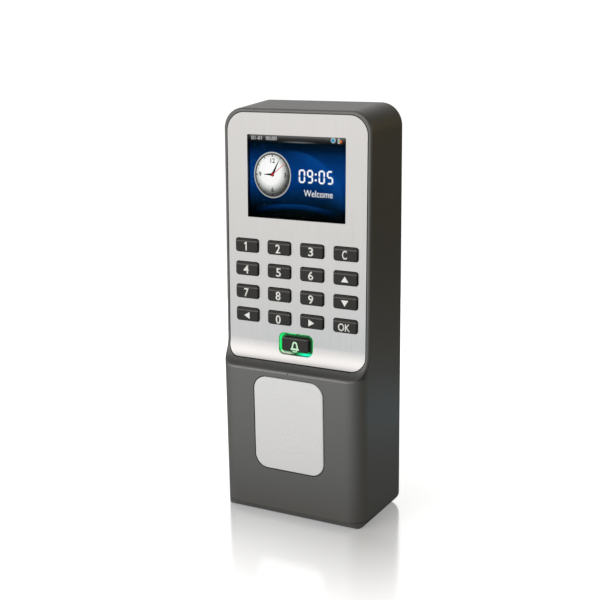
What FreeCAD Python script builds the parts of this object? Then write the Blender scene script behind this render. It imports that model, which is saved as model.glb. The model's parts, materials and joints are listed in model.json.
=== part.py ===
import FreeCAD, Part
import math
import os

# Wall-mounted access terminal: a tall plastic housing with a deeper lower
# section, a flared aluminium faceplate with display and keypad, a reader pad,
# a rear cover and a steel wall plate that it hangs on.
# Millimetres.  +X right, +Z up, the front faces -Y, the wall is y = 0.
# Everything is modelled with z = 0 at the bottom of the housing and moved
# down by half its height on export, so the origin is the centre of the wall
# plate's back face.

# ---------------------------------------------------------------- dimensions
W = 76.0               # housing width at its rear edge
H = 187.0              # top of the housing at its rear edge
Z_BOT = -0.85          # its bottom
REAR_Y = -0.5          # rear rim of the housing, just clear of the wall
SIDE_DRAFT = 0.055     # narrowing of each side per mm of depth
TOP_DRAFT = 0.064      # drop of the top per mm of depth
R_TOP = 10.0           # front-view corner radius, top, at the rear edge
R_TOP_F = 9.0          # and at the front
R_BOT = 5.2            # front-view corner radius, bottom, at the rear edge
R_BOT_F = 2.0          # and at the front
R_PLAN = 8.3           # plan-view radius of the lower section's front corners
R_FOOT = 2.4           # rounding of the bottom front edge
FRONT_Y = -44.0        # depth where the front radii hold

UP_Y = -30.18          # upper front plane at z = UP_Z
UP_Z = 130.0
UP_LEAN = 0.022        # it leans back by this per mm of height
FLARE_Z = 80.0         # height where the concave flare starts
FLARE_R = 12.15        # radius of the flare
LOW_Y0 = -38.75        # lower front plane at z = 0
LOW_LEAN = -0.01095    # it comes forward by this per mm of height

WALL = 2.2             # side, top and bottom walls
WALL_F = 2.75          # front wall
RIM_R = 1.3            # rounding of the rim round the faceplate

PLATE_T = 0.8          # aluminium faceplate
GLUE_T = 0.15          # its adhesive film
PLATE_HW = 34.5
PLATE_TOP = 183.4
PLATE_BOT = 72.1
PLATE_RT = 8.4
PLATE_RB = 5.6
PLATE_GAP = 0.40

WIN_HW = 24.4          # display window
WIN_Z0 = 136.85
WIN_Z1 = 173.85
KEY_X = [-24.8, -8.27, 8.27, 24.8]
KEY_Z = [123.80, 113.10, 102.40, 91.70]
KEY_W = 11.6
KEY_H = 5.95
KEY_GAP = 0.30         # gap round each key in the faceplate
KEY_PROUD = 0.95
KEY_TRAVEL = 0.8
BELL_Z = 80.15
BELL_W = 13.7
BELL_H = 6.5
BELL_OPEN_W = 17.5
BELL_OPEN_H = 10.1

PAD_HW = 17.55         # reader pad
PAD_Z0 = 21.75
PAD_Z1 = 65.75
PAD_R = 6.3
PAD_GAP = 0.45

PLATE_STEEL = 1.2      # wall plate
WP_HW = 29.0
WP_Z0 = 20.0
WP_Z1 = 167.0
LIFT = 5.5             # how far the terminal lifts off its hooks
HOOK_X = 18.0
HOOK_Z = [52.0, 138.0]
HOLE_DX = 44.0
HOLE_DZ = 120.0
HOLE_R = 2.25

LEAN_UP = math.degrees(math.atan(UP_LEAN))
LEAN_LOW = math.degrees(math.atan(-LOW_LEAN))
V = FreeCAD.Vector
X = V(1, 0, 0)
Y = V(0, 1, 0)
Z = V(0, 0, 1)

os.makedirs("parts", exist_ok=True)


# ------------------------------------------------------------------- helpers
def box(x0, x1, y0, y1, z0, z1):
    return Part.makeBox(x1 - x0, y1 - y0, z1 - z0, V(x0, y0, z0))


def cyl(r, p0, p1):
    a, b = V(*p0), V(*p1)
    d = b - a
    return Part.makeCylinder(r, d.Length, a, d)


def cone(r0, r1, p0, p1):
    a, b = V(*p0), V(*p1)
    d = b - a
    return Part.makeCone(r0, r1, d.Length, a, d)


def rect_wire(hw, z0, z1, rt, rb, y, x0=0.0):
    """Rounded rectangle in a plane of constant y."""
    def P(x, z):
        return V(x0 + x, y, z)

    def arc(cx, cz, r, a):
        p = []
        for t in (a, a + 45.0, a + 90.0):
            c = math.radians(t)
            p.append(P(cx + r * math.cos(c), cz + r * math.sin(c)))
        return Part.Arc(*p).toShape()
    e = [arc(hw - rt, z1 - rt, rt, 0.0),
         Part.makeLine(P(hw - rt, z1), P(-hw + rt, z1)),
         arc(-hw + rt, z1 - rt, rt, 90.0),
         Part.makeLine(P(-hw, z1 - rt), P(-hw, z0 + rb)),
         arc(-hw + rb, z0 + rb, rb, 180.0),
         Part.makeLine(P(-hw + rb, z0), P(hw - rb, z0)),
         arc(hw - rb, z0 + rb, rb, 270.0),
         Part.makeLine(P(hw, z0 + rb), P(hw, z1 - rt))]
    return Part.Wire(e)


def slab(hw, z0, z1, r, y0, y1, x0=0.0, rb=None):
    """Rounded rectangle in XZ, from y0 to y1."""
    w = rect_wire(hw, z0, z1, r, r if rb is None else rb, y0, x0)
    return Part.Face(w).extrude(V(0, y1 - y0, 0))


def taper(hw, hh, r, y0, hw1, hh1, r1, y1, x0, z0):
    a = rect_wire(hw, z0 - hh, z0 + hh, r, r, y0, x0)
    b = rect_wire(hw1, z0 - hh1, z0 + hh1, r1, r1, y1, x0)
    return Part.makeLoft([a, b], True, True)


def lean_up(s):
    """From the upper front plane's own frame (y = depth behind it)."""
    s = s.copy()
    s.rotate(V(0, 0, UP_Z), X, -LEAN_UP)
    s.translate(V(0, UP_Y, 0))
    return s


def lean_low(s):
    """From the lower front plane's own frame (y = depth behind it)."""
    s = s.copy()
    s.rotate(V(0, 0, 0), X, LEAN_LOW)
    s.translate(V(0, LOW_Y0, 0))
    return s


def fuse(a, *b):
    s = a.fuse(list(b)) if b else a
    return s.removeSplitter()


def cut(a, *b):
    return a.cut(list(b))


# ----------------------------------------------- the front profile, in Y and Z
th = math.atan(UP_LEAN)
N_IN = (math.cos(th), -math.sin(th))        # inward normal of the upper plane
U_UP = (math.sin(th), math.cos(th))         # up along it
T0 = (UP_Y + UP_LEAN * (FLARE_Z - UP_Z), FLARE_Z)
FC = (T0[0] - FLARE_R * N_IN[0], T0[1] - FLARE_R * N_IN[1])


def low_y(z, d=0.0):
    return LOW_Y0 + LOW_LEAN * z + d


def front_points(d):
    """Points of the front profile set back by d."""
    r = FLARE_R + d
    t = (T0[0] + d * N_IN[0], T0[1] + d * N_IN[1])
    top = (t[0] + 125.0 * U_UP[0], t[1] + 125.0 * U_UP[1])
    # where the flare meets the lower plane
    lo, hi = -math.pi * 0.62, -0.1
    f = lambda a: FC[0] + r * math.cos(a) - low_y(FC[1] + r * math.sin(a), d)
    for _ in range(80):
        m = (lo + hi) / 2
        if f(m) > 0:
            hi = m
        else:
            lo = m
    a1 = (lo + hi) / 2
    step = (FC[0] + r * math.cos(a1), FC[1] + r * math.sin(a1))
    a0 = math.atan2(t[1] - FC[1], t[0] - FC[0])
    am = (a0 + a1) / 2
    mid = (FC[0] + r * math.cos(am), FC[1] + r * math.sin(am))
    return top, t, mid, step


def side_solid(d, z_low, foot, x=60.0, y_back=REAR_Y):
    """Everything behind the front profile set back by d."""
    top, t, mid, step = front_points(d)
    P = lambda p: V(-x, p[0], p[1])
    e = [Part.makeLine(P(top), P(t)),
         Part.Arc(P(t), P(mid), P(step)).toShape()]
    if foot > 0:
        c = (low_y(z_low + foot, d) + foot, z_low + foot)
        p1 = (low_y(z_low + foot, d), z_low + foot)
        p2 = (c[0], z_low)
        pm = (c[0] - foot * math.cos(math.pi / 4), c[1] - foot * math.sin(math.pi / 4))
        e += [Part.makeLine(P(step), P(p1)),
              Part.Arc(P(p1), P(pm), P(p2)).toShape()]
    else:
        p2 = (low_y(z_low, d), z_low)
        e += [Part.makeLine(P(step), P(p2))]
    q = (y_back, z_low)
    w = (y_back, top[1])
    e += [Part.makeLine(P(p2), P(q)), Part.makeLine(P(q), P(w)),
          Part.makeLine(P(w), P(top))]
    return Part.Face(Part.Wire(e)).extrude(V(2 * x, 0, 0))


def half_w(y):
    return W / 2 - SIDE_DRAFT * (REAR_Y - y)


def top_z(y):
    return H - TOP_DRAFT * (REAR_Y - y)


def front_view_solid(t, y0, y1):
    """The drafted front-view outline set in by t, between two depths."""
    ws = []
    for y in (y0, y1):
        k = (REAR_Y - y) / (REAR_Y - FRONT_Y)
        rt = R_TOP + (R_TOP_F - R_TOP) * k
        rb = R_BOT + (R_BOT_F - R_BOT) * k
        ws.append(rect_wire(half_w(y) - t, Z_BOT + t, top_z(y) - t, rt - t, max(rb - t, 0.8), y))
    return Part.makeLoft(ws, True, True)


def plan_solid(t, d, r, y_back):
    """Sides, rounded front corners and lower front plane in plan view."""
    ws = []
    for z in (-3.0, 195.0):
        yf = low_y(z, d)
        k = SIDE_DRAFT
        # side line: x = half_w(y) - t ; circle of radius r tangent to it and to y = yf
        cy = yf + r
        nx, ny = 1 / math.hypot(1, k), -k / math.hypot(1, k)   # outward normal of the right side
        # the side line passes (half_w(cy) - t, cy); the centre is r inside it
        cx = (half_w(cy) - t) - r * math.hypot(1, k)
        tx, ty = cx + r * nx, cy + r * ny
        am = (math.atan2(ny, nx) - math.pi / 2) / 2
        mx, my = cx + r * math.cos(am), cy + r * math.sin(am)
        bx = half_w(y_back) - t
        P = lambda x, y: V(x, y, z)
        ws.append(Part.Wire([
            Part.makeLine(P(-cx, yf), P(cx, yf)),
            Part.Arc(P(cx, yf), P(mx, my), P(tx, ty)).toShape(),
            Part.makeLine(P(tx, ty), P(bx, y_back)),
            Part.makeLine(P(bx, y_back), P(-bx, y_back)),
            Part.makeLine(P(-bx, y_back), P(-tx, ty)),
            Part.Arc(P(-tx, ty), P(-mx, my), P(-cx, yf)).toShape()]))
    return Part.makeLoft(ws, True, True)


def body_solid(t, d, r, foot, y_back):
    a = front_view_solid(t, y_back, FRONT_Y)
    b = plan_solid(t, d, r, y_back)
    c = side_solid(d, Z_BOT + t, foot, y_back=y_back)
    return a.common(b).common(c)


def plate_band(d0, d1, hw, z0, z1, rt, rb):
    """Sheet that follows the front profile, from depth d0 to d1."""
    a = side_solid(d0, 40.0, 0.0, y_back=-20.0).cut(side_solid(d1, 39.0, 0.0, y_back=-19.0))
    return a.common(slab(hw, z0, z1, rt, -48.0, -20.5, rb=rb))


def all_keys():
    for i, z in enumerate(KEY_Z):
        for j, x in enumerate(KEY_X):
            yield KEY_NAMES[i][j], x, z


KEY_NAMES = [["key_1", "key_2", "key_3", "key_clear"],
             ["key_4", "key_5", "key_6", "key_up"],
             ["key_7", "key_8", "key_9", "key_down"],
             ["key_left", "key_0", "key_right", "key_ok"]]

parts = {}

# ---------------------------------------------------------- the front housing
outer = body_solid(0.0, 0.0, R_PLAN, R_FOOT, REAR_Y)

# round the rim of the faceplate surround
top, t_pt, mid_pt, step_pt = front_points(0.0)
rim_faces = []
for f in outer.Faces:
    s = f.Surface
    if isinstance(s, Part.Cylinder) and abs(s.Radius - FLARE_R) < 0.05 and abs(abs(s.Axis.x) - 1) < 1e-3:
        rim_faces.append(f)
    elif isinstance(s, Part.Plane) and f.CenterOfMass.z > 100 and abs(abs(s.Axis.y) - math.cos(th)) < 1e-3 and f.CenterOfMass.y < -20:
        rim_faces.append(f)
count = {}
for f in rim_faces:
    for e in f.Edges:
        h = e.hashCode()
        count.setdefault(h, [e, 0])[1] += 1
rim_edges = [e for e, n in count.values() if n == 1]
print("rim faces", len(rim_faces), "rim edges", len(rim_edges))
shell_outer = outer
for r in (RIM_R, 0.7, 0.5):
    try:
        s = outer.makeFillet(r, rim_edges)
        if s.isValid() and s.Volume > 0.98 * outer.Volume:
            shell_outer = s
            print("rim rounded at", r)
            break
    except Exception as ex:
        print("rim radius", r, "not possible:", ex)
if hasattr(shell_outer, "Solids") and shell_outer.Solids:
    shell_outer = shell_outer.Solids[0]

inner = body_solid(WALL, WALL_F, R_PLAN - 2.5, 0.0, REAR_Y + 1.0)
housing = shell_outer.cut(inner)

# recess for the faceplate
housing = housing.cut(plate_band(-3.0, PLATE_T + GLUE_T, PLATE_HW + PLATE_GAP,
                                 PLATE_BOT - PLATE_GAP, PLATE_TOP + PLATE_GAP,
                                 PLATE_RT + PLATE_GAP, PLATE_RB + PLATE_GAP))

# display window with a rebate behind it for the lens
D_WALL = WALL_F
cuts = [lean_up(slab(WIN_HW + 0.15, WIN_Z0 - 0.15, WIN_Z1 + 0.15, 0.8, -2.0, 6.0)),
        lean_up(slab(WIN_HW + 2.6, WIN_Z0 - 2.0, WIN_Z1 + 2.0, 1.0, 1.75, 6.0))]
# key openings
for name, x, z in all_keys():
    cuts.append(lean_up(slab(KEY_W / 2 + 0.2, z - KEY_H / 2 - 0.2, z + KEY_H / 2 + 0.2, 1.3, -2.0, 6.0, x)))
cuts.append(lean_up(slab(BELL_OPEN_W / 2 - 0.1, BELL_Z - BELL_OPEN_H / 2 + 0.1, BELL_Z + BELL_OPEN_H / 2 - 0.1, 2.7, -6.0, 6.0)))
housing = housing.cut(cuts)

# fine parting groove just above the rounded foot
gz = Z_BOT + R_FOOT + 0.05
groove = plan_solid(-1.0, -1.0, R_PLAN + 1.0, REAR_Y).cut(plan_solid(0.34, 0.34, R_PLAN - 0.34, REAR_Y + 5.0))
groove = groove.common(box(-60.0, 60.0, -60.0, 20.0, gz, gz + 0.38))
housing = housing.cut(groove)

# reader pad recess
housing = housing.cut(lean_low(slab(PAD_HW + PAD_GAP, PAD_Z0 - PAD_GAP, PAD_Z1 + PAD_GAP,
                                    PAD_R + PAD_GAP, -4.0, 1.6)))
# small pinhole on the step, for the microphone
housing = housing.cut(cyl(0.28, (-0.2, -42.0, 68.35), (-0.2, -34.0, 68.35)))

# bosses: shell screws, keypad board, reader board, security screw
SHELL_XZ = [(-24.0, 7.2), (24.0, 7.2), (-24.0, 180.6), (24.0, 180.6)]
adds = []
for x, z in SHELL_XZ:
    adds.append(cyl(2.9, (x, -2.65, z), (x, -40.0, z)).common(
        body_solid(1.0, 1.4, 6.5, 0.0, REAR_Y)))
KEYB_XZ = [(-20.0, 80.2), (20.0, 80.2)]
kb = [lean_up(cyl(2.5, (x, 2.0, z), (x, 6.25, z))) for x, z in KEYB_XZ]
READ_XZ = [(-24.0, 17.0), (24.0, 17.0), (-24.0, 61.0), (24.0, 61.0)]
rb = [lean_low(cyl(2.6, (x, 2.2, z), (x, 3.95, z))) for x, z in READ_XZ]
SEC_Y = -9.0
sb = [cyl(4.6, (0, SEC_Y, 0.8), (0, SEC_Y, 5.0)).cut(box(-6, 6, -6.4, 0, 0, 6))]
housing = housing.fuse(adds + kb + rb + sb)
holes = []
for x, z in SHELL_XZ:
    holes.append(cyl(1.25, (x, -2.0, z), (x, -15.0, z)))
for x, z in KEYB_XZ:
    holes.append(lean_up(cyl(1.05, (x, 2.4, z), (x, 7.0, z))))
for x, z in READ_XZ:
    holes.append(lean_low(cyl(1.05, (x, 1.6, z), (x, 5.0, z))))
holes.append(cyl(3.15, (0, SEC_Y, -2.0), (0, SEC_Y, 2.1)))
holes.append(cyl(1.8, (0, SEC_Y, 0.0), (0, SEC_Y, 8.0)))
# speaker slots in the bottom wall
SPK = (-10.4, -24.3)
for k in range(-3, 4):
    holes.append(box(SPK[0] + 2.4 * k - 0.6, SPK[0] + 2.4 * k + 0.6, SPK[1] - 6.5 + 0.5 * abs(k), SPK[1] + 6.5 - 0.5 * abs(k), -2.0, 3.0))
housing = housing.cut(holes).removeSplitter()
parts["front_housing"] = housing

# -------------------------------------------------------------- the faceplate
key_open = [lean_up(slab(KEY_W / 2 + KEY_GAP, z - KEY_H / 2 - KEY_GAP, z + KEY_H / 2 + KEY_GAP, 1.35, -6.0, 6.0, x))
            for n, x, z in all_keys()]
bell_open = lean_up(slab(BELL_OPEN_W / 2, BELL_Z - BELL_OPEN_H / 2, BELL_Z + BELL_OPEN_H / 2, 2.8, -6.0, 6.0))
win_open = lean_up(slab(WIN_HW, WIN_Z0, WIN_Z1, 0.5, -6.0, 6.0))
fp = plate_band(0.0, PLATE_T, PLATE_HW, PLATE_BOT, PLATE_TOP, PLATE_RT, PLATE_RB)
fp = fp.cut(key_open + [bell_open, win_open])
parts["faceplate"] = fp

glue = lean_up(slab(PLATE_HW - 1.0, 80.5, PLATE_TOP - 1.0, PLATE_RT - 1.0, PLATE_T, PLATE_T + GLUE_T, rb=0.8))
glue = glue.cut([lean_up(slab(KEY_W / 2 + 0.8, z - KEY_H / 2 - 0.8, z + KEY_H / 2 + 0.8, 1.6, -6.0, 6.0, x))
                 for n, x, z in all_keys()]
                + [lean_up(slab(BELL_OPEN_W / 2 + 0.6, BELL_Z - 8, BELL_Z + BELL_OPEN_H / 2 + 0.5, 2.0, -6, 6)),
                   lean_up(slab(WIN_HW + 0.8, WIN_Z0 - 0.8, WIN_Z1 + 0.8, 0.8, -6, 6))])
parts["faceplate_adhesive"] = glue

# ------------------------------------------------------------------ the display
WIN_ZC = (WIN_Z0 + WIN_Z1) / 2
parts["display_lens"] = lean_up(slab(WIN_HW + 2.4, WIN_Z0 - 1.8, WIN_Z1 + 1.8, 0.8, 1.80, 2.70))
lcd = slab(30.1, WIN_ZC - 21.3, WIN_ZC + 21.3, 0.4, 2.85, 4.05)
parts["lcd_panel"] = lean_up(lcd)
parts["lcd_backlight"] = lean_up(slab(30.0, WIN_ZC - 21.2, WIN_ZC + 21.2, 0.6, 4.10, 5.80))
frame = slab(31.9, WIN_ZC - 22.5, WIN_ZC + 22.5, 1.2, 2.80, 6.80)
frame = frame.cut([slab(30.3, WIN_ZC - 21.5, WIN_ZC + 21.5, 0.5, 2.0, 5.90),
                   slab(26.5, WIN_ZC - 18.0, WIN_ZC + 18.0, 1.0, 5.0, 8.0),
                   box(-9.0, 9.0, 3.9, 8.0, WIN_ZC - 24.0, WIN_ZC - 17.0)])
parts["display_frame"] = lean_up(frame)

BRD_F = -17.6          # main board, front face
BRD_R = -16.0          # main board, rear face
# flex tail: out of the panel's lower edge, back, and down onto the main board
flex_pts = [(UP_Y + 5.0, WIN_ZC - 21.9), (UP_Y + 8.6, WIN_ZC - 21.9)]
flex = fuse(box(-8.0, 8.0, -26.1, -20.2, 133.10, 133.30),
            box(-8.0, 8.0, -20.4, -20.2, 126.0, 133.30),
            box(-8.0, 8.0, -20.4, BRD_F, 126.0, 126.2))
parts["display_ribbon"] = flex

# ------------------------------------------------------------------- the keypad
FL0, FL1 = 2.95, 3.75        # keycap flange, behind the housing wall
for name, x, z in all_keys():
    hw, hh = KEY_W / 2, KEY_H / 2
    shaft = slab(hw, z - hh, z + hh, 1.15, 0.0, FL1, x)
    crown = taper(hw, hh, 1.15, 0.0, hw, hh, 1.15, -KEY_PROUD + 0.35, x, z)
    lip = taper(hw, hh, 1.15, -KEY_PROUD + 0.35, hw - 0.35, hh - 0.35, 0.85, -KEY_PROUD, x, z)
    # sloping top edge: the upper part of the crown falls back
    slope = Part.Face(Part.makePolygon([V(x - 8, -3.0, z + hh - 1.05), V(x - 8, -KEY_PROUD, z + hh - 1.05),
                                        V(x - 8, -KEY_PROUD + 0.62, z + hh + 0.05), V(x - 8, -KEY_PROUD + 0.62, z + hh + 2.0),
                                        V(x - 8, -3.0, z + hh + 2.0), V(x - 8, -3.0, z + hh - 1.05)])).extrude(V(16, 0, 0))
    flange = slab(hw + 0.75, z - hh - 0.65, z + hh + 0.65, 1.3, FL0, FL1, x)
    cap = shaft.fuse([crown, lip, flange]).removeSplitter()
    cap = cap.cut([slope, slab(hw - 1.15, z - hh + 1.1, z + hh - 1.1, 0.5, 0.5, FL1 + 1, x)])
    if name == "key_5":
        cap = cap.fuse(slab(0.28, z - 0.75, z + 0.75, 0.26, -KEY_PROUD - 0.18, -KEY_PROUD + 0.1, x - 4.1))
    parts[name] = lean_up(cap)

bw, bh = BELL_W / 2, BELL_H / 2
bell = slab(bw, BELL_Z - bh, BELL_Z + bh, 1.3, 0.0, FL1)
bell = bell.fuse([taper(bw, bh, 1.3, 0.0, bw, bh, 1.3, -KEY_PROUD + 0.3, 0.0, BELL_Z),
                  taper(bw, bh, 1.3, -KEY_PROUD + 0.3, bw - 0.4, bh - 0.4, 0.9, -KEY_PROUD - 0.1, 0.0, BELL_Z),
                  slab(bw + 1.1, BELL_Z - bh - 0.9, BELL_Z + bh + 0.9, 1.3, FL0 + 0.15, FL1)]).removeSplitter()
bell = bell.cut(slab(bw - 1.2, BELL_Z - bh + 1.15, BELL_Z + bh - 1.15, 0.6, 0.5, FL1 + 1))
parts["doorbell_key"] = lean_up(bell)

# translucent ring round the doorbell key, glowing green
ring = slab(BELL_OPEN_W / 2 - 0.25, BELL_Z - BELL_OPEN_H / 2 + 0.25, BELL_Z + BELL_OPEN_H / 2 - 0.25, 2.55, 0.55, 2.85)
ring = ring.cut(slab(bw + 0.25, BELL_Z - bh - 0.25, BELL_Z + bh + 0.25, 1.5, -3.0, 4.0))
parts["doorbell_light_ring"] = lean_up(ring)

# silicone mat: a sheet with a dome under each key; domes stand at the height
# the pressed cap leaves for them
MAT0, MAT1 = 5.25, 6.25
mat = slab(32.0, 77.0, 131.0, 1.5, MAT0, MAT1)
domes = []
for name, x, z in all_keys():
    domes.append(cone(1.55, 1.25, (x, MAT0 + 0.1, z), (x, 1.55, z)))
domes.append(cone(1.6, 1.3, (0, MAT0 + 0.1, BELL_Z), (0, 1.55, BELL_Z)))
mat = mat.cut([cyl(2.8, (x, 4.0, z), (x, 8.0, z)) for x, z in KEYB_XZ]
              + [box(xx - 1.6, xx + 1.6, 4.0, 8.0, 84.6, 85.9) for xx in (-11.5, 11.5)])
mat = mat.fuse(domes).removeSplitter()
parts["keypad_mat"] = lean_up(mat)

kbd = slab(32.5, 76.5, 131.5, 1.0, 6.30, 7.50)
kbd = kbd.cut([cyl(1.3, (x, 4.0, z), (x, 9.0, z)) for x, z in KEYB_XZ])
parts["keypad_board"] = lean_up(kbd)
leds = [lean_up(slab(0.8, 84.75, 85.75, 0.1, 5.5, 6.29, xx)) for xx in (-11.5, 11.5)]
parts["doorbell_leds"] = Part.makeCompound(leds)

# --------------------------------------------------------------- the reader
pad = slab(PAD_HW, PAD_Z0, PAD_Z1, PAD_R, 0.0, 1.55)
pad = pad.fuse(Part.makeLoft([rect_wire(PAD_HW, PAD_Z0, PAD_Z1, PAD_R, PAD_R, 0.0),
                              rect_wire(PAD_HW - 0.3, PAD_Z0 + 0.3, PAD_Z1 - 0.3, PAD_R - 0.3, PAD_R - 0.3, -0.25)], True, True)).removeSplitter()
parts["reader_pad"] = lean_low(pad)
rbd = slab(28.5, 12.0, 66.0, 1.0, 4.0, 5.6).cut([cyl(1.3, (x, 3.0, z), (x, 7.0, z)) for x, z in READ_XZ])
parts["reader_board"] = lean_low(rbd)
coil = slab(18.0, 21.0, 57.0, 5.0, 3.15, 3.95).cut(slab(14.2, 24.8, 53.2, 2.4, 2.0, 5.0))
parts["reader_coil"] = lean_low(coil)

# -------------------------------------------------------------- the rear cover
RC = WALL + 0.2
FLOOR0, FLOOR1 = -4.2, -6.2         # floor of the wall plate's recess
REC_HW, REC_Z0, REC_Z1 = 30.5, 13.0, 169.0
cov_o = Part.Face(rect_wire(half_w(-2.5) - RC, Z_BOT + RC, top_z(-2.5) - RC, R_TOP - RC, R_BOT - RC, REAR_Y)).extrude(V(0, -2.0, 0))
pan = slab(REC_HW + 1.8, REC_Z0 - 1.8, REC_Z1 + 1.8, 3.0, -1.0, FLOOR1)
cover = cov_o.fuse(pan).removeSplitter()
cover = cover.cut([slab(REC_HW, REC_Z0, REC_Z1, 2.0, 1.0, FLOOR0)])
BAY = (-20.0, 20.0, 68.0, 118.0)
cc = [box(BAY[0], BAY[1], -8.0, 0.0, BAY[2], BAY[3]),
      box(-7.5, 7.5, -8.0, -1.0, REC_Z0, 23.0)]
for hx in (-HOOK_X, HOOK_X):
    for hz in HOOK_Z:
        cc.append(box(hx - 4.6, hx + 4.6, -8.0, -1.0, hz - LIFT - 0.7, hz + 1.3))
TAMP = (24.0, 146.0)
cc.append(cyl(2.2, (TAMP[0], -8.0, TAMP[1]), (TAMP[0], -1.0, TAMP[1])))
for x, z in SHELL_XZ:
    cc.append(cyl(2.7, (x, 1.0, z), (x, -1.75, z)))
    cc.append(cyl(1.6, (x, 1.0, z), (x, -4.0, z)))
# vent slots low in the recess floor
for k in range(6):
    cc.append(box(-22.0, -11.0, -8.0, -1.0, 28.0 + 3.0 * k, 29.2 + 3.0 * k))
    cc.append(box(11.0, 22.0, -8.0, -1.0, 28.0 + 3.0 * k, 29.2 + 3.0 * k))
cover = cover.cut(cc)
BRD_XZ = [(-27.0, 73.0), (27.0, 73.0), (-27.0, 163.0), (27.0, 163.0)]
cover = cover.fuse([cyl(2.7, (x, FLOOR1 + 0.5, z), (x, BRD_R, z)) for x, z in BRD_XZ])
cover = cover.cut([cyl(1.25, (x, FLOOR1 - 3.0, z), (x, BRD_R - 1, z)) for x, z in BRD_XZ]).removeSplitter()
parts["rear_cover"] = cover

# -------------------------------------------------------------- the wall plate
wp = slab(WP_HW, WP_Z0, WP_Z1, 4.0, -PLATE_STEEL, 0.0)
ZC = (WP_Z0 + WP_Z1) / 2
CABLE = (-17.0, 17.0, 74.0, 112.0)
wc = [slab((CABLE[1] - CABLE[0]) / 2, CABLE[2], CABLE[3], 3.0, -3.0, 1.0)]
for sx in (-1, 1):
    for sz in (-1, 1):
        wc.append(cyl(HOLE_R, (sx * HOLE_DX / 2, -3.0, ZC + sz * HOLE_DZ / 2), (sx * HOLE_DX / 2, 1.0, ZC + sz * HOLE_DZ / 2)))
wp_cut = wp.cut(wc)
tabs = []
win = []
for hx in (-HOOK_X, HOOK_X):
    for hz in HOOK_Z:
        # neck forward, lip up; the window it was bent from is above it
        tabs.append(box(hx - 4.0, hx + 4.0, -7.9, -0.6, hz, hz + PLATE_STEEL))
        tabs.append(box(hx - 4.0, hx + 4.0, -7.9, -7.9 + PLATE_STEEL, hz, hz + PLATE_STEEL + 4.0))
        win.append(box(hx - 4.6, hx + 4.6, -3.0, 1.0, hz + PLATE_STEEL, hz + 12.0))
# bottom tab for the security screw
tabs.append(box(-6.0, 6.0, -13.0, -0.6, WP_Z0 - 1.2, WP_Z0))
tabs.append(box(-6.0, 6.0, -PLATE_STEEL, 0.0, WP_Z0 - 1.2, WP_Z0 + 1.0))
wp = wp_cut.cut(win).fuse(tabs).removeSplitter()
wp = wp.cut(cyl(1.8, (0, SEC_Y, WP_Z0 - 3), (0, SEC_Y, WP_Z0 + 2)))
parts["wall_plate"] = wp

# -------------------------------------------------------------- the main board
mb = slab(31.0, 66.0, 171.0, 1.2, BRD_F, BRD_R).cut([cyl(1.3, (x, -20, z), (x, -10, z)) for x, z in BRD_XZ])
parts["main_board"] = mb
parts["processor_chips"] = Part.makeCompound([
    box(-9.0, 5.0, BRD_F - 1.4, BRD_F, 100.0, 114.0),
    box(10.0, 20.0, BRD_F - 1.1, BRD_F, 104.0, 112.0),
    box(-24.0, -16.0, BRD_F - 1.1, BRD_F, 88.0, 94.0)])
# network jack, its mouth facing down into the connector bay
NJ = (-18.6, -2.6, 95.0, 112.0)
jack = box(NJ[0], NJ[1], BRD_R, -4.6, NJ[2], NJ[3])
jack = jack.cut(box(NJ[0] + 2.1, NJ[1] - 2.1, BRD_R + 1.6, -6.2, NJ[2] - 1.0, NJ[3] - 3.0))
parts["network_jack"] = jack
# screw terminal blocks: power and lock contacts
blocks = []
screws = []
for bx0, n in ((1.0, 3), (-18.6, 3)):
    z0, z1 = (96.0, 104.0) if bx0 > 0 else (71.0, 79.0)
    b = box(bx0, bx0 + 5.0 * n + 1.0, BRD_R, -7.0, z0, z1)
    for k in range(n):
        cx = bx0 + 3.0 + 5.0 * k
        b = b.cut(box(cx - 1.6, cx + 1.6, BRD_R + 1.2, BRD_R + 4.4, z0 - 1, z0 + 5.0))
        b = b.cut(cyl(1.75, (cx, -6.0, z0 + 5.0), (cx, -9.0, z0 + 5.0)))
        s = cyl(1.6, (cx, -7.6, z0 + 5.0), (cx, -9.0, z0 + 5.0)).cut(box(cx - 2, cx + 2, -8.0, -7.0, z0 + 4.75, z0 + 5.25))
        screws.append(s)
    blocks.append(b)
parts["terminal_blocks"] = Part.makeCompound(blocks)
parts["terminal_screws"] = Part.makeCompound(screws)
parts["lock_relay"] = box(-26.0, -10.6, BRD_R, -7.0, 113.4, 131.4)
parts["buzzer"] = cyl(6.0, (20.0, BRD_R, 130.0), (20.0, -9.0, 130.0)).cut(cyl(1.2, (20.0, -10.5, 130.0), (20.0, -8.0, 130.0)))
hold = cyl(11.2, (5.0, BRD_R, 155.0), (5.0, -11.0, 155.0)).cut(cyl(10.15, (5.0, BRD_R + 0.8, 155.0), (5.0, -8.0, 155.0)))
hold = hold.cut(box(1.0, 9.0, -14.4, -9.0, 164.0, 168.0))
parts["cell_holder"] = hold
parts["backup_cell"] = cyl(10.0, (5.0, BRD_R + 0.85, 155.0), (5.0, -11.9, 155.0))

# reset button, pressed from behind through the connector bay
parts["reset_switch"] = box(11.0, 17.0, BRD_R, -12.6, 74.0, 80.0).cut(cyl(1.9, (14.0, -15.2, 77.0), (14.0, -10.0, 77.0)))
parts["reset_button"] = cyl(1.7, (14.0, -14.7, 77.0), (14.0, -11.2, 77.0))

# tamper switch, its plunger held in by the wall plate
tx, tz = TAMP
parts["tamper_switch"] = box(tx - 4.0, tx + 4.0, BRD_R, -9.5, tz - 4.0, tz + 4.0).cut(
    cyl(1.75, (tx, -15.0, tz), (tx, -9.0, tz)))
parts["tamper_plunger"] = cyl(1.5, (tx, -13.6, tz), (tx, -1.4, tz))

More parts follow.
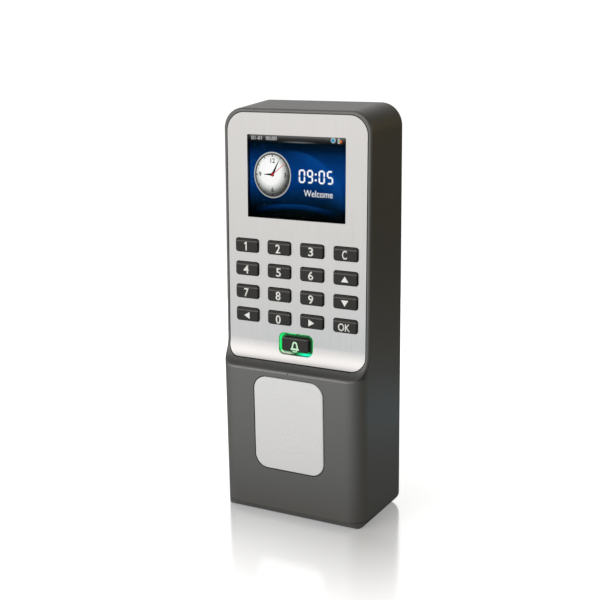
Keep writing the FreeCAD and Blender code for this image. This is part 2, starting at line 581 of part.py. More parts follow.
# speaker on the bottom wall
SPZ = Z_BOT + WALL
spk = fuse(cyl(10.0, (SPK[0], SPK[1], SPZ + 0.05), (SPK[0], SPK[1], SPZ + 2.2)),
           cyl(7.6, (SPK[0], SPK[1], SPZ + 2.2), (SPK[0], SPK[1], SPZ + 4.8)))
parts["speaker"] = spk

# --------------------------------------------------------------------- fasteners
def screw(p, d, r, rh, hh, L):
    """Pan-head screw: p is under the head, d points to the tip."""
    d = V(*d)
    p = V(*p)
    s = Part.makeCylinder(r, L, p, d).fuse(Part.makeCylinder(rh, hh, p, d * -1.0)).removeSplitter()
    back = p - d * hh
    sl = Part.makeBox(0.5, 2 * rh + 1, 0.9)
    sl2 = Part.makeBox(2 * rh + 1, 0.5, 0.9)
    for q, (a, b) in ((sl, (0.25, rh + 0.5)), (sl2, (rh + 0.5, 0.25))):
        q.translate(V(-a, -b, -0.45))
        rot = FreeCAD.Rotation(Z, d)
        q.Placement = FreeCAD.Placement(back, rot).multiply(q.Placement)
        s = s.cut(q.common(Part.makeCylinder(rh * 0.62, 3.0, back - d, d)))
    return s


parts["shell_screws"] = Part.makeCompound([screw((x, -1.74, z), (0, -1, 0), 1.2, 2.3, 1.0, 11.0) for x, z in SHELL_XZ])
bs = [screw((x, BRD_F - 0.02, z), (0, 1, 0), 1.2, 2.2, 1.1, 7.5) for x, z in BRD_XZ]
parts["board_screws"] = Part.makeCompound(bs)
ks = [lean_up(screw((x, 7.52, z), (0, -1, 0), 1.0, 2.0, 1.0, 4.4)) for x, z in KEYB_XZ]
ks += [lean_low(screw((x, 5.62, z), (0, -1, 0), 1.0, 2.0, 1.0, 3.4)) for x, z in READ_XZ]
parts["small_screws"] = Part.makeCompound(ks)
parts["security_screw"] = screw((0, SEC_Y, 2.0), (0, 0, 1), 1.45, 2.8, 1.7, 21.0)

# ------------------------------------------------------------------------ export
total = 0
for name in sorted(parts):
    s = parts[name].copy()
    s.translate(V(0, 0, -H / 2))
    sol = s.Solids
    ok = all(x.isValid() for x in sol)
    bad = "" if ok else "  INVALID"
    if len(sol) == 1:
        s = sol[0]
    elif len(sol) > 1:
        s = Part.makeCompound(sol)
    bb = s.BoundBox
    print("%-22s solids %2d vol %9.1f  x %7.2f %7.2f y %7.2f %7.2f z %7.2f %7.2f%s" % (
        name, len(sol), sum(q.Volume for q in sol), bb.XMin, bb.XMax, bb.YMin, bb.YMax, bb.ZMin, bb.ZMax, bad))
    s.exportStep("parts/%s.step" % name)
    total += len(sol)
print(len(parts), "nodes", total, "solids")
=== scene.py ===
import json
import math
import random
import bpy
import bmesh
from mathutils import Vector, Matrix


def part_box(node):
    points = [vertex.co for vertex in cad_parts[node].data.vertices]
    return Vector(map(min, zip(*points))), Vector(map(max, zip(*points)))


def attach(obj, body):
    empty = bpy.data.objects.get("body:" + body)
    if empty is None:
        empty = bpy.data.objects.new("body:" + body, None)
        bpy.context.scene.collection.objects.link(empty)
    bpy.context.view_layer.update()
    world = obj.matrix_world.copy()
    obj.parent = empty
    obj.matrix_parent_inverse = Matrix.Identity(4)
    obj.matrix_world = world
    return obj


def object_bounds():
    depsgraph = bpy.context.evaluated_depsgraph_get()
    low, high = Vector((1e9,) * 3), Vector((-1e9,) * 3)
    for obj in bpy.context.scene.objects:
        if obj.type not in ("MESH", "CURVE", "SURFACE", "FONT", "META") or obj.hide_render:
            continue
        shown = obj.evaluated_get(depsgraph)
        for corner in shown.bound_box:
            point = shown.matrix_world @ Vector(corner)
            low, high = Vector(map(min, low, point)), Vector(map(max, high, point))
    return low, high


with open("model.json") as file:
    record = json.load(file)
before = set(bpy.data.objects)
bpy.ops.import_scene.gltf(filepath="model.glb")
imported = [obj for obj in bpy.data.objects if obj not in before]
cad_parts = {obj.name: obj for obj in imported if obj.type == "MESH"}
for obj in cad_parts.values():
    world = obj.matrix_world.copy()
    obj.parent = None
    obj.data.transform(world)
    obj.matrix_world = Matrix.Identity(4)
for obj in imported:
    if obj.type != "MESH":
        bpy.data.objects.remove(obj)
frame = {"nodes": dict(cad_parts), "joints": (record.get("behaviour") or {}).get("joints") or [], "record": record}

CAD_LO, CAD_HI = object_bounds()
NODES = frame["nodes"]
RECORD = frame["record"]
MM = 0.001
random.seed(7)
scene = bpy.context.scene
scene.view_settings.view_transform = "Standard"


# =========================================================== small maths helpers
def srgb(r, g, b):
    """Linear colour from 0-255 display values."""
    def f(c):
        c = c / 255.0
        return c / 12.92 if c <= 0.04045 else ((c + 0.055) / 1.055) ** 2.4
    return (f(r), f(g), f(b), 1.0)


# the inward normal of the upper front comes from the keys' own joint axis
key_axis = next(j["axis"] for j in frame["joints"] if j["name"] == "key_1_press")
N_UP = Vector(key_axis).normalized()
U_UP = Vector((0.0, -N_UP.z, N_UP.y))
SIN_T, COS_T = U_UP.y, U_UP.z


def slab_front(node, lean):
    """A leaning slab's front face from its box: origin at the middle of the face,
    up, inward normal, half width, half height.  lean is its slope, dy per dz."""
    lo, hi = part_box(node)
    c = 1.0 / math.hypot(1.0, lean)
    s = abs(lean) * c
    ey, ez = hi.y - lo.y, hi.z - lo.z
    t = (ey - ez * s / c) / (c - s * s / c)
    h = (ez - t * s) / c
    if lean >= 0:
        up, n = Vector((0, s, c)), Vector((0, c, -s))
        foot = Vector(((lo.x + hi.x) / 2, lo.y, lo.z + t * s))
    else:
        up, n = Vector((0, -s, c)), Vector((0, c, s))
        foot = Vector(((lo.x + hi.x) / 2, lo.y + h * s, lo.z))
    return foot + up * (h / 2), up, n, (hi.x - lo.x) / 2, h / 2


def key_face(node):
    """Middle of a key's front face."""
    lo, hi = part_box(node)
    if node == "doorbell_key":
        bottom, mid = 2.85 * MM, 4.475 * MM
    else:
        bottom, mid = 2.625 * MM, 4.30 * MM
    return Vector(((lo.x + hi.x) / 2, lo.y + bottom * SIN_T, (lo.z + hi.z) / 2 + mid * SIN_T))


def basis(o, up, n):
    """Matrix whose x is +X, y is up, z points out of the face."""
    m = Matrix.Identity(4)
    for i, v in enumerate((Vector((1, 0, 0)), up, -n)):
        for r in range(3):
            m[r][i] = v[r]
    for r in range(3):
        m[r][3] = o[r]
    return m


# height of the step's ridge: the top of the housing's most forward band, just under the faceplate
RIDGE_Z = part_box("faceplate")[0].z - 3.55 * MM


# ================================================================ node helpers
def new_mat(name):
    m = bpy.data.materials.new(name)
    m.use_nodes = True
    nt = m.node_tree
    nt.nodes.clear()
    out = nt.nodes.new("ShaderNodeOutputMaterial")
    b = nt.nodes.new("ShaderNodeBsdfPrincipled")
    nt.links.new(b.outputs[0], out.inputs[0])
    return m, nt, b


def coords(nt, scale=(1, 1, 1), rot=(0, 0, 0)):
    tc = nt.nodes.new("ShaderNodeTexCoord")
    mp = nt.nodes.new("ShaderNodeMapping")
    mp.inputs["Scale"].default_value = scale
    mp.inputs["Rotation"].default_value = rot
    nt.links.new(tc.outputs["Object"], mp.inputs["Vector"])
    return mp.outputs["Vector"]


def noise(nt, vec, scale, detail=4.0, rough=0.5, distortion=0.0):
    n = nt.nodes.new("ShaderNodeTexNoise")
    n.inputs["Scale"].default_value = scale
    n.inputs["Detail"].default_value = detail
    n.inputs["Roughness"].default_value = rough
    n.inputs["Distortion"].default_value = distortion
    nt.links.new(vec, n.inputs["Vector"])
    return n.outputs["Fac"]


def ramp(nt, fac, stops, interp="LINEAR"):
    r = nt.nodes.new("ShaderNodeValToRGB")
    r.color_ramp.interpolation = interp
    e = r.color_ramp.elements
    while len(e) < len(stops):
        e.new(0.5)
    for el, (p, c) in zip(e, stops):
        el.position = p
        el.color = c if len(c) == 4 else (*c, 1.0)
    nt.links.new(fac, r.inputs["Fac"])
    return r.outputs["Color"]


def remap(nt, v, a, b, c, d):
    m = nt.nodes.new("ShaderNodeMapRange")
    m.inputs["From Min"].default_value = a
    m.inputs["From Max"].default_value = b
    m.inputs["To Min"].default_value = c
    m.inputs["To Max"].default_value = d
    nt.links.new(v, m.inputs["Value"])
    return m.outputs["Result"]


def mix(nt, fac, a, b, mode="MIX"):
    m = nt.nodes.new("ShaderNodeMix")
    m.data_type = "RGBA"
    m.blend_type = mode
    for sock, v in ((m.inputs["Factor"], fac), (m.inputs["A"], a), (m.inputs["B"], b)):
        pass
    put(nt, m.inputs[0], fac)
    put(nt, m.inputs[6], a)
    put(nt, m.inputs[7], b)
    return m.outputs[2]


def put(nt, sock, v):
    if isinstance(v, bpy.types.NodeSocket):
        nt.links.new(v, sock)
    elif isinstance(v, (tuple, list)) and len(v) == 3 and sock.type == "RGBA":
        sock.default_value = (*v, 1.0)
    else:
        sock.default_value = v


def mth(nt, op, a, b=0.0, c=0.0):
    m = nt.nodes.new("ShaderNodeMath")
    m.operation = op
    put(nt, m.inputs[0], a)
    put(nt, m.inputs[1], b)
    if op in ("MULTIPLY_ADD", "SMOOTH_MAX", "SMOOTH_MIN", "WRAP"):
        put(nt, m.inputs[2], c)
    return m.outputs[0]


def bump(nt, height, dist, strength=1.0, normal=None):
    b = nt.nodes.new("ShaderNodeBump")
    b.inputs["Strength"].default_value = strength
    b.inputs["Distance"].default_value = dist
    nt.links.new(height, b.inputs["Height"])
    if normal is not None:
        nt.links.new(normal, b.inputs["Normal"])
    return b.outputs["Normal"]


def xyz(nt, vec=None):
    if vec is None:
        vec = nt.nodes.new("ShaderNodeTexCoord").outputs["Object"]
    s = nt.nodes.new("ShaderNodeSeparateXYZ")
    nt.links.new(vec, s.inputs[0])
    return s.outputs


# =================================================================== materials
def plastic(name, col, rough, spec=0.4, var=0.10, grain=0.000012, grain_scale=3800.0,
            patches=60.0, rvar=0.06):
    """Moulded plastic: fine spark-eroded grain, slow colour drift, uneven gloss."""
    m, nt, b = new_mat(name)
    v = coords(nt)
    slow = noise(nt, v, patches, 3.0, 0.5)
    fine = noise(nt, v, grain_scale, 2.0, 0.6)
    mid = noise(nt, v, grain_scale * 0.22, 3.0, 0.55)
    lo = tuple(c * (1 - var) for c in col[:3])
    hi = tuple(min(1.0, c * (1 + var)) for c in col[:3])
    base = mix(nt, slow, lo, hi)
    speck = ramp(nt, fine, [(0.30, (0.90, 0.90, 0.90, 1)), (0.70, (1.08, 1.08, 1.08, 1))])
    nt.links.new(mix(nt, 1.0, base, speck, "MULTIPLY"), b.inputs["Base Color"])
    nt.links.new(remap(nt, mid, 0.3, 0.7, rough - rvar, rough + rvar), b.inputs["Roughness"])
    b.inputs["Specular IOR Level"].default_value = spec
    h = mth(nt, "ADD", mth(nt, "MULTIPLY", fine, 0.6), mth(nt, "MULTIPLY", mid, 0.4))
    nt.links.new(bump(nt, h, grain, 0.8), b.inputs["Normal"])
    return m


def metal(name, col, rough, streak=(2600.0, 2600.0, 26.0), depth=0.000004, var=0.05,
          aniso=0.0, arot=0.0, rvar=0.06, tangent=None):
    """Brushed or plated metal: long fine streaks in colour, gloss and height."""
    m, nt, b = new_mat(name)
    v = coords(nt, scale=streak)
    s1 = noise(nt, v, 1.0, 5.0, 0.62)
    v2 = coords(nt, scale=tuple(c * 0.23 for c in streak))
    s2 = noise(nt, v2, 1.0, 3.0, 0.5)
    slow = noise(nt, coords(nt), 40.0, 2.0)
    lo = tuple(c * (1 - var) for c in col[:3])
    hi = tuple(min(1.0, c * (1 + var)) for c in col[:3])
    base = mix(nt, s2, lo, hi)
    fine = ramp(nt, s1, [(0.25, (0.93, 0.93, 0.93, 1)), (0.75, (1.05, 1.05, 1.05, 1))])
    base = mix(nt, 1.0, base, fine, "MULTIPLY")
    base = mix(nt, 1.0, base, ramp(nt, slow, [(0.3, (0.98, 0.98, 0.98, 1)), (0.7, (1.0, 1.0, 1.0, 1))]), "MULTIPLY")
    nt.links.new(base, b.inputs["Base Color"])
    nt.links.new(remap(nt, s1, 0.25, 0.75, rough - rvar, rough + rvar), b.inputs["Roughness"])
    b.inputs["Metallic"].default_value = 1.0
    if aniso:
        b.inputs["Anisotropic"].default_value = aniso
        b.inputs["Anisotropic Rotation"].default_value = arot
        tg = nt.nodes.new("ShaderNodeTangent")
        tg.direction_type = "RADIAL"
        tg.axis = tangent or "Z"
        nt.links.new(tg.outputs[0], b.inputs["Tangent"])
    nt.links.new(bump(nt, s1, depth, 0.7), b.inputs["Normal"])
    return m


def board(name, mask, copper, pitch):
    """Circuit board: solder mask over faint copper tracks, pads and silk specks."""
    m, nt, b = new_mat(name)
    v = coords(nt)
    br = nt.nodes.new("ShaderNodeTexBrick")
    rot = coords(nt, scale=(pitch, pitch, pitch), rot=(math.pi / 2, 0, 0))
    nt.links.new(rot, br.inputs["Vector"])
    br.inputs["Scale"].default_value = 1.0
    br.inputs["Mortar Size"].default_value = 0.035
    br.inputs["Color1"].default_value = (0, 0, 0, 1)
    br.inputs["Color2"].default_value = (0.15, 0.15, 0.15, 1)
    br.inputs["Mortar"].default_value = (1, 1, 1, 1)
    vo = nt.nodes.new("ShaderNodeTexVoronoi")
    vo.inputs["Scale"].default_value = pitch * 1.4
    nt.links.new(v, vo.inputs["Vector"])
    pads = ramp(nt, vo.outputs["Distance"], [(0.10, (1, 1, 1, 1)), (0.13, (0, 0, 0, 1))])
    slow = noise(nt, v, 300.0, 3.0)
    base = mix(nt, slow, tuple(c * 0.8 for c in mask), tuple(c * 1.2 for c in mask))
    base = mix(nt, br.outputs["Color"], base, tuple(min(1, c * 1.9 + 0.01) for c in mask))
    base = mix(nt, pads, base, copper)
    nt.links.new(base, b.inputs["Base Color"])
    nt.links.new(remap(nt, slow, 0.3, 0.7, 0.28, 0.42), b.inputs["Roughness"])
    nt.links.new(bump(nt, br.outputs["Color"], 0.00003, 0.6), b.inputs["Normal"])
    return m


M = {}
# front housing: charcoal, satin, very fine grain
M["housing_plastic"] = plastic("housing_plastic", (0.086, 0.081, 0.071), 0.46, spec=1.0,
                               var=0.04, grain=0.000010, grain_scale=3600.0, patches=45.0, rvar=0.04)


def rounded_depth(nt, o, box, r_top, r_bottom):
    """Distance outside (+) or inside (-) the front outline of a part with rounded corners."""
    blo, bhi = box
    zc = (blo.z + bhi.z) / 2
    up = mth(nt, "GREATER_THAN", o[2], zc)
    r = mth(nt, "ADD", mth(nt, "MULTIPLY", up, r_top - r_bottom), r_bottom)
    dx = mth(nt, "ADD", mth(nt, "SUBTRACT", mth(nt, "ABSOLUTE", mth(nt, "SUBTRACT", o[0], (blo.x + bhi.x) / 2)), (bhi.x - blo.x) / 2), r)
    dz = mth(nt, "ADD", mth(nt, "SUBTRACT", mth(nt, "ABSOLUTE", mth(nt, "SUBTRACT", o[2], zc)), (bhi.z - blo.z) / 2), r)
    px, pz = mth(nt, "MAXIMUM", dx, 0.0), mth(nt, "MAXIMUM", dz, 0.0)
    away = mth(nt, "SQRT", mth(nt, "ADD", mth(nt, "MULTIPLY", px, px), mth(nt, "MULTIPLY", pz, pz)))
    inner = mth(nt, "MINIMUM", mth(nt, "MAXIMUM", dx, dz), 0.0)
    return mth(nt, "SUBTRACT", mth(nt, "ADD", away, inner), r)


def paint_recess_shade_and_step_highlight(mat):
    """Painted shade and painted highlight: the walls of the faceplate and pad recesses are painted
    near black as shade, the hollow above the step is painted darker as shade, and the ridge of the step is painted
    lighter as a highlight."""
    nt = mat.node_tree
    b = nt.nodes["Principled BSDF"]
    base = b.inputs["Base Color"].links[0].from_socket
    o = xyz(nt)
    d1 = rounded_depth(nt, o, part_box("faceplate"), 8.4 * MM, 5.6 * MM)
    d2 = rounded_depth(nt, o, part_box("reader_pad"), 6.3 * MM, 6.3 * MM)
    # painted shade: m1, m2 and k mask the recess walls, which are painted near black
    m1 = remap(nt, d1, 0.43 * MM, 0.47 * MM, 1.0, 0.0)
    m2 = remap(nt, d2, 0.48 * MM, 0.52 * MM, 1.0, 0.0)
    k = mth(nt, "MAXIMUM", m1, m2)
    front = remap(nt, o[1], -34.0 * MM, -36.5 * MM, 0.0, 1.0)
    n = noise(nt, coords(nt), 500.0, 3.0)
    # painted highlight: a lighter band along the ridge of the step, on the front only and short of the corners
    step_highlight = mth(nt, "MULTIPLY", remap(nt, mth(nt, "ABSOLUTE", mth(nt, "SUBTRACT", o[2], RIDGE_Z)), 0.15 * MM, 0.55 * MM, 1.0, 0.0), front)
    step_highlight = mth(nt, "MULTIPLY", step_highlight, remap(nt, n, 0.3, 0.7, 0.65, 1.0))
    step_highlight = mth(nt, "MULTIPLY", step_highlight, remap(nt, mth(nt, "ABSOLUTE", o[0]), 28.0 * MM, 33.0 * MM, 1.0, 0.0))
    # painted shade: the hollow above the step, behind the front, is painted darker
    hollow_shade = mth(nt, "MULTIPLY", remap(nt, o[2], RIDGE_Z + 0.35 * MM, RIDGE_Z + 0.95 * MM, 0.0, 1.0), remap(nt, o[2], -19.5 * MM, -17.0 * MM, 1.0, 0.0))
    hollow_shade = mth(nt, "MULTIPLY", hollow_shade, remap(nt, o[1], -32.0 * MM, -34.5 * MM, 0.0, 1.0))
    # painted shade: darker colour mixed in over the hollow above the step
    base = mix(nt, mth(nt, "MULTIPLY", hollow_shade, 0.85), base, (0.022, 0.021, 0.018))
    # painted highlight: lighter colour mixed in along the ridge of the step
    base = mix(nt, step_highlight, base, (0.185, 0.176, 0.158))
    # painted shade: the recess walls take the near-black colour
    nt.links.new(mix(nt, k, base, (0.004, 0.004, 0.004)), b.inputs["Base Color"])


paint_recess_shade_and_step_highlight(M["housing_plastic"])
M["brushed_aluminium"] = metal("brushed_aluminium", (0.510, 0.495, 0.479), 0.36,
                               streak=(2300.0, 2300.0, 14.0), depth=0.0000030, var=0.018,
                               aniso=0.55, arot=0.0, rvar=0.04)
M["adhesive_film"] = plastic("adhesive_film", (0.02, 0.02, 0.022), 0.7, spec=0.2, grain_scale=1500.0)
M["white_plastic"] = plastic("white_plastic", (0.72, 0.72, 0.70), 0.5, grain_scale=2600.0)
M["black_plastic"] = plastic("black_plastic", (0.018, 0.018, 0.019), 0.42, grain_scale=2600.0)
M["keycap_plastic"] = plastic("keycap_plastic", (0.030, 0.028, 0.0255), 0.46, spec=0.16, var=0.06,
                              grain=0.000006, grain_scale=5200.0, rvar=0.04)


def paint_cap_edge_highlight(mat):
    """Painted highlight: a lighter band where each cap's sloping top meets its face; the rows are evenly spaced."""
    nt = mat.node_tree
    b = nt.nodes["Principled BSDF"]
    base = b.inputs["Base Color"].links[0].from_socket
    lo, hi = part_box("key_1")
    pitch = lo.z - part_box("key_4")[0].z
    z = mth(nt, "SUBTRACT", xyz(nt)[2], (lo.z + hi.z) / 2 + 4.30 * MM * SIN_T + 1.90 * MM)
    z = mth(nt, "SUBTRACT", mth(nt, "WRAP", mth(nt, "ADD", z, pitch / 2), pitch, 0.0), pitch / 2)
    d = mth(nt, "ABSOLUTE", z)
    n = noise(nt, coords(nt), 900.0, 3.0)
    k = mth(nt, "MULTIPLY", remap(nt, d, 0.08 * MM, 0.34 * MM, 1.0, 0.0), remap(nt, n, 0.3, 0.7, 0.75, 1.0))
    # painted highlight: the lighter band is mixed into the caps' colour
    nt.links.new(mix(nt, k, base, (0.135, 0.122, 0.110)), b.inputs["Base Color"])


paint_cap_edge_highlight(M["keycap_plastic"])
M["pad_plastic"] = plastic("pad_plastic", (0.790, 0.765, 0.742), 0.50, spec=0.36, var=0.012,
                           grain=0.000008, grain_scale=4200.0, rvar=0.03)
M["silicone"] = plastic("silicone", (0.30, 0.31, 0.32), 0.62, spec=0.35, grain_scale=1800.0)
M["silicone"].node_tree.nodes["Principled BSDF"].inputs["Subsurface Weight"].default_value = 0.3
M["silicone"].node_tree.nodes["Principled BSDF"].inputs["Subsurface Radius"].default_value = (0.001, 0.001, 0.001)
M["terminal_green"] = plastic("terminal_green", (0.02, 0.20, 0.07), 0.4, grain_scale=2400.0)
M["relay_blue"] = plastic("relay_blue", (0.015, 0.06, 0.22), 0.34, grain_scale=2400.0)
M["flex_film"] = plastic("flex_film", (0.42, 0.17, 0.03), 0.3, spec=0.5, var=0.15, grain_scale=900.0, grain=0.000004)
M["circuit_board"] = board("circuit_board", (0.010, 0.105, 0.035), (0.62, 0.44, 0.16), 420.0)
M["plated_steel"] = metal("plated_steel", (0.60, 0.61, 0.60), 0.34, streak=(30.0, 1800.0, 1800.0),
                          depth=0.000006, var=0.08, rvar=0.08)
M["screw_steel"] = metal("screw_steel", (0.46, 0.46, 0.45), 0.30, streak=(2400.0, 2400.0, 2400.0),
                         depth=0.000006, var=0.10, rvar=0.08)
M["jack_shield"] = metal("jack_shield", (0.66, 0.65, 0.61), 0.26, streak=(1500.0, 1500.0, 60.0),
                         depth=0.000004, var=0.06)


def coil_mat():
    """Copper winding: fine parallel enamelled turns following the frame of the coil."""
    m, nt, b = new_mat("copper")
    o = xyz(nt)
    clo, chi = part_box("reader_coil")
    coil_z = (clo.z + chi.z) / 2
    ax, az = mth(nt, "ABSOLUTE", o[0]), mth(nt, "ABSOLUTE", mth(nt, "SUBTRACT", o[2], coil_z))
    d = mth(nt, "MAXIMUM", mth(nt, "SUBTRACT", ax, 0.0142), mth(nt, "SUBTRACT", az, 0.0142))
    w = mth(nt, "SINE", mth(nt, "MULTIPLY", d, 6.2832 / 0.00038))
    base = ramp(nt, remap(nt, w, -1, 1, 0, 1), [(0.1, (0.16, 0.04, 0.012, 1)), (0.6, (0.72, 0.30, 0.13, 1))])
    nt.links.new(base, b.inputs["Base Color"])
    b.inputs["Metallic"].default_value = 1.0
    n = noise(nt, coords(nt), 900.0)
    nt.links.new(remap(nt, n, 0.3, 0.7, 0.25, 0.40), b.inputs["Roughness"])
    nt.links.new(bump(nt, w, 0.00008, 0.8), b.inputs["Normal"])
    return m


M["copper"] = coil_mat()


def lens_mat():
    """Clear display lens: smooth acrylic, faint haze in its gloss."""
    m, nt, b = new_mat("lens_glass")
    n = noise(nt, coords(nt), 240.0, 2.0)
    nt.links.new(mix(nt, n, (0.985, 0.99, 0.99), (1.0, 1.0, 1.0)), b.inputs["Base Color"])
    nt.links.new(remap(nt, n, 0.3, 0.7, 0.0, 0.012), b.inputs["Roughness"])
    b.inputs["Transmission Weight"].default_value = 1.0
    b.inputs["IOR"].default_value = 1.06
    return m


M["lens_glass"] = lens_mat()


def lcd_mat():
    """The display cell: near-black polariser with its fine cell grid and a slight violet sheen."""
    m, nt, b = new_mat("lcd_glass")
    v = coords(nt, scale=(6500.0, 6500.0, 6500.0))
    ch = nt.nodes.new("ShaderNodeTexChecker")
    ch.inputs["Scale"].default_value = 1.0
    ch.inputs["Color1"].default_value = (0.004, 0.004, 0.005, 1)
    ch.inputs["Color2"].default_value = (0.007, 0.006, 0.008, 1)
    nt.links.new(v, ch.inputs["Vector"])
    nt.links.new(ch.outputs["Color"], b.inputs["Base Color"])
    n = noise(nt, coords(nt), 500.0)
    nt.links.new(remap(nt, n, 0.3, 0.7, 0.22, 0.30), b.inputs["Roughness"])
    b.inputs["Specular IOR Level"].default_value = 0.06
    return m


M["lcd_glass"] = lcd_mat()

bell_lo, bell_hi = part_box("doorbell_light_ring")
BX0, BX1 = bell_lo.x, bell_hi.x
BZ0, BZ1 = bell_lo.z, bell_hi.z


def light_pipe():
    """Green light ring: the glow gathers along its outer edge, strongest at the left
    and the lower right, next to its lamps; the rest of the ring stays dark green."""
    m, nt, b = new_mat("green_light_pipe")
    o = xyz(nt)
    zc, r = (BZ0 + BZ1) / 2, 0.0025
    dx = mth(nt, "SUBTRACT", mth(nt, "ABSOLUTE", o[0]), BX1 - r)
    dz = mth(nt, "SUBTRACT", mth(nt, "ABSOLUTE", mth(nt, "SUBTRACT", o[2], zc)), (BZ1 - BZ0) / 2 - r)
    px, pz = mth(nt, "MAXIMUM", dx, 0.0), mth(nt, "MAXIMUM", dz, 0.0)
    away = mth(nt, "SQRT", mth(nt, "ADD", mth(nt, "MULTIPLY", px, px), mth(nt, "MULTIPLY", pz, pz)))
    inner = mth(nt, "MINIMUM", mth(nt, "MAXIMUM", dx, dz), 0.0)
    depth = mth(nt, "SUBTRACT", r, mth(nt, "ADD", away, inner))        # distance in from the outer edge
    n = noise(nt, coords(nt), 700.0, 3.0)
    patch = noise(nt, coords(nt), 260.0, 1.0)
    thin = remap(nt, depth, 0.00005, 0.00060, 1.0, 0.0)
    wide = remap(nt, depth, 0.0002, 0.0016, 1.0, 0.25)
    left = mth(nt, "MULTIPLY", remap(nt, o[0], BX0 + 0.0006, BX0 + 0.0034, 1.0, 0.0), wide)
    top = mth(nt, "MULTIPLY", remap(nt, o[2], BZ1 - 0.0018, BZ1 - 0.0004, 0.0, 1.0), thin)
    top = mth(nt, "MULTIPLY", top, remap(nt, patch, 0.40, 0.62, 0.12, 0.75))
    right = mth(nt, "MULTIPLY", remap(nt, o[0], BX1 - 0.0016, BX1 - 0.0006, 0.0, 0.55), thin)
    low = remap(nt, o[2], BZ0 + 0.0004, BZ0 + 0.0016, 1.0, 0.0)
    low_right = mth(nt, "MULTIPLY", low, remap(nt, o[0], -0.0005, 0.0035, 0.0, 1.0))
    low_left = mth(nt, "MULTIPLY", low, remap(nt, o[0], -0.0005, -0.0035, 0.0, 0.42))
    e = mth(nt, "MAXIMUM", mth(nt, "MAXIMUM", left, mth(nt, "MULTIPLY", low_right, 1.1)), mth(nt, "MAXIMUM", top, right))
    e = mth(nt, "MAXIMUM", e, low_left)
    e = mth(nt, "MULTIPLY", mth(nt, "ADD", e, 0.035), remap(nt, n, 0.3, 0.7, 0.85, 1.1))
    col = mix(nt, low_right, (0.0, 0.72, 0.13), (0.0, 0.80, 0.46))
    col = mix(nt, mth(nt, "MULTIPLY", low_left, 2.3), col, (0.86, 1.0, 0.78))
    nt.links.new(mix(nt, n, (0.004, 0.030, 0.012), (0.008, 0.050, 0.022)), b.inputs["Base Color"])
    nt.links.new(remap(nt, n, 0.3, 0.7, 0.30, 0.42), b.inputs["Roughness"])
    b.inputs["Specular IOR Level"].default_value = 0.2
    nt.links.new(mix(nt, 1.0, col, e, "MULTIPLY"), b.inputs["Emission Color"])
    b.inputs["Emission Strength"].default_value = 1.5
    return m


M["green_light_pipe"] = light_pipe()


def led_mat():
    m, nt, b = new_mat("led_epoxy")
    n = noise(nt, coords(nt), 1500.0)
    nt.links.new(mix(nt, n, (0.45, 0.75, 0.5), (0.6, 0.9, 0.62)), b.inputs["Base Color"])
    nt.links.new(remap(nt, n, 0.3, 0.7, 0.15, 0.25), b.inputs["Roughness"])
    nt.links.new(mix(nt, n, (0.0, 0.8, 0.2), (0.1, 1.0, 0.3)), b.inputs["Emission Color"])
    b.inputs["Emission Strength"].default_value = 3.0
    return m


M["led_epoxy"] = led_mat()

# every CAD node takes its slot's material
SLOT_OF = {}
for e in RECORD.get("materials", []):
    for n in e.get("nodes", []) or []:
        SLOT_OF[n] = e["slot"]
if not SLOT_OF:
    for n, s in (RECORD.get("node_materials") or {}).items():
        SLOT_OF[n] = s
PRIVATE = {}
for name, ob in NODES.items():
    slot = SLOT_OF.get(name)
    if slot is None and ob.data.materials and ob.data.materials[0]:
        slot = ob.data.materials[0].name.split(".")[0]
    mat = M.get(slot)
    if mat is None:
        print("NO MATERIAL FOR", name, slot)
        mat = M["housing_plastic"]
    ob.data.materials.clear()
    ob.data.materials.append(mat)


# ============================================================== added geometry
def finish_piece(ob, body):
    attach(ob, body)
    return ob


def mesh_piece(name, verts, faces, mat, smooth=False):
    me = bpy.data.meshes.new(name)
    me.from_pydata([tuple(v) for v in verts], [], faces)
    me.update()
    me.materials.append(mat)
    if smooth:
        for p in me.polygons:
            p.use_smooth = True
    ob = bpy.data.objects.new(name, me)
    scene.collection.objects.link(ob)
    return ob


def text_mesh(name, body, height, width, weight, extrude, mat, matrix, squash_to=None):
    """Raised characters, centred, scaled to a height and a width."""
    cu = bpy.data.curves.new(name, "FONT")
    cu.body = body
    cu.align_x = "CENTER"
    cu.align_y = "CENTER"
    cu.size = 1.0
    cu.offset = weight
    cu.resolution_u = 6
    cu.fill_mode = "FRONT"
    tmp = bpy.data.objects.new(name + "_t", cu)
    scene.collection.objects.link(tmp)
    bpy.context.view_layer.update()
    dg = bpy.context.evaluated_depsgraph_get()
    me = bpy.data.meshes.new_from_object(tmp.evaluated_get(dg))
    bpy.data.objects.remove(tmp)
    bpy.data.curves.remove(cu)
    xs = [v.co.x for v in me.vertices]
    ys = [v.co.y for v in me.vertices]
    cx, cy = (min(xs) + max(xs)) / 2, (min(ys) + max(ys)) / 2
    w, h = max(xs) - min(xs), max(ys) - min(ys)
    sy = height / h
    sx = sy if width is None else width / w
    for v in me.vertices:
        v.co = Vector(((v.co.x - cx) * sx, (v.co.y - cy) * sy, 0.0))
    bm = bmesh.new()
    bm.from_mesh(me)
    bmesh.ops.remove_doubles(bm, verts=bm.verts, dist=1e-7)
    bmesh.ops.recalc_face_normals(bm, faces=bm.faces)
    for f in bm.faces:
        if f.normal.z < 0:
            f.normal_flip()
    r = bmesh.ops.extrude_face_region(bm, geom=list(bm.faces))
    up = [g for g in r["geom"] if isinstance(g, bmesh.types.BMVert)]
    bmesh.ops.translate(bm, verts=up, vec=(0, 0, extrude))
    bmesh.ops.recalc_face_normals(bm, faces=bm.faces)
    bm.to_mesh(me)
    bm.free()
    me.name = name
    me.materials.clear()
    me.materials.append(mat)
    ob = bpy.data.objects.new(name, me)
    scene.collection.objects.link(ob)
    me.transform(matrix)
    return ob


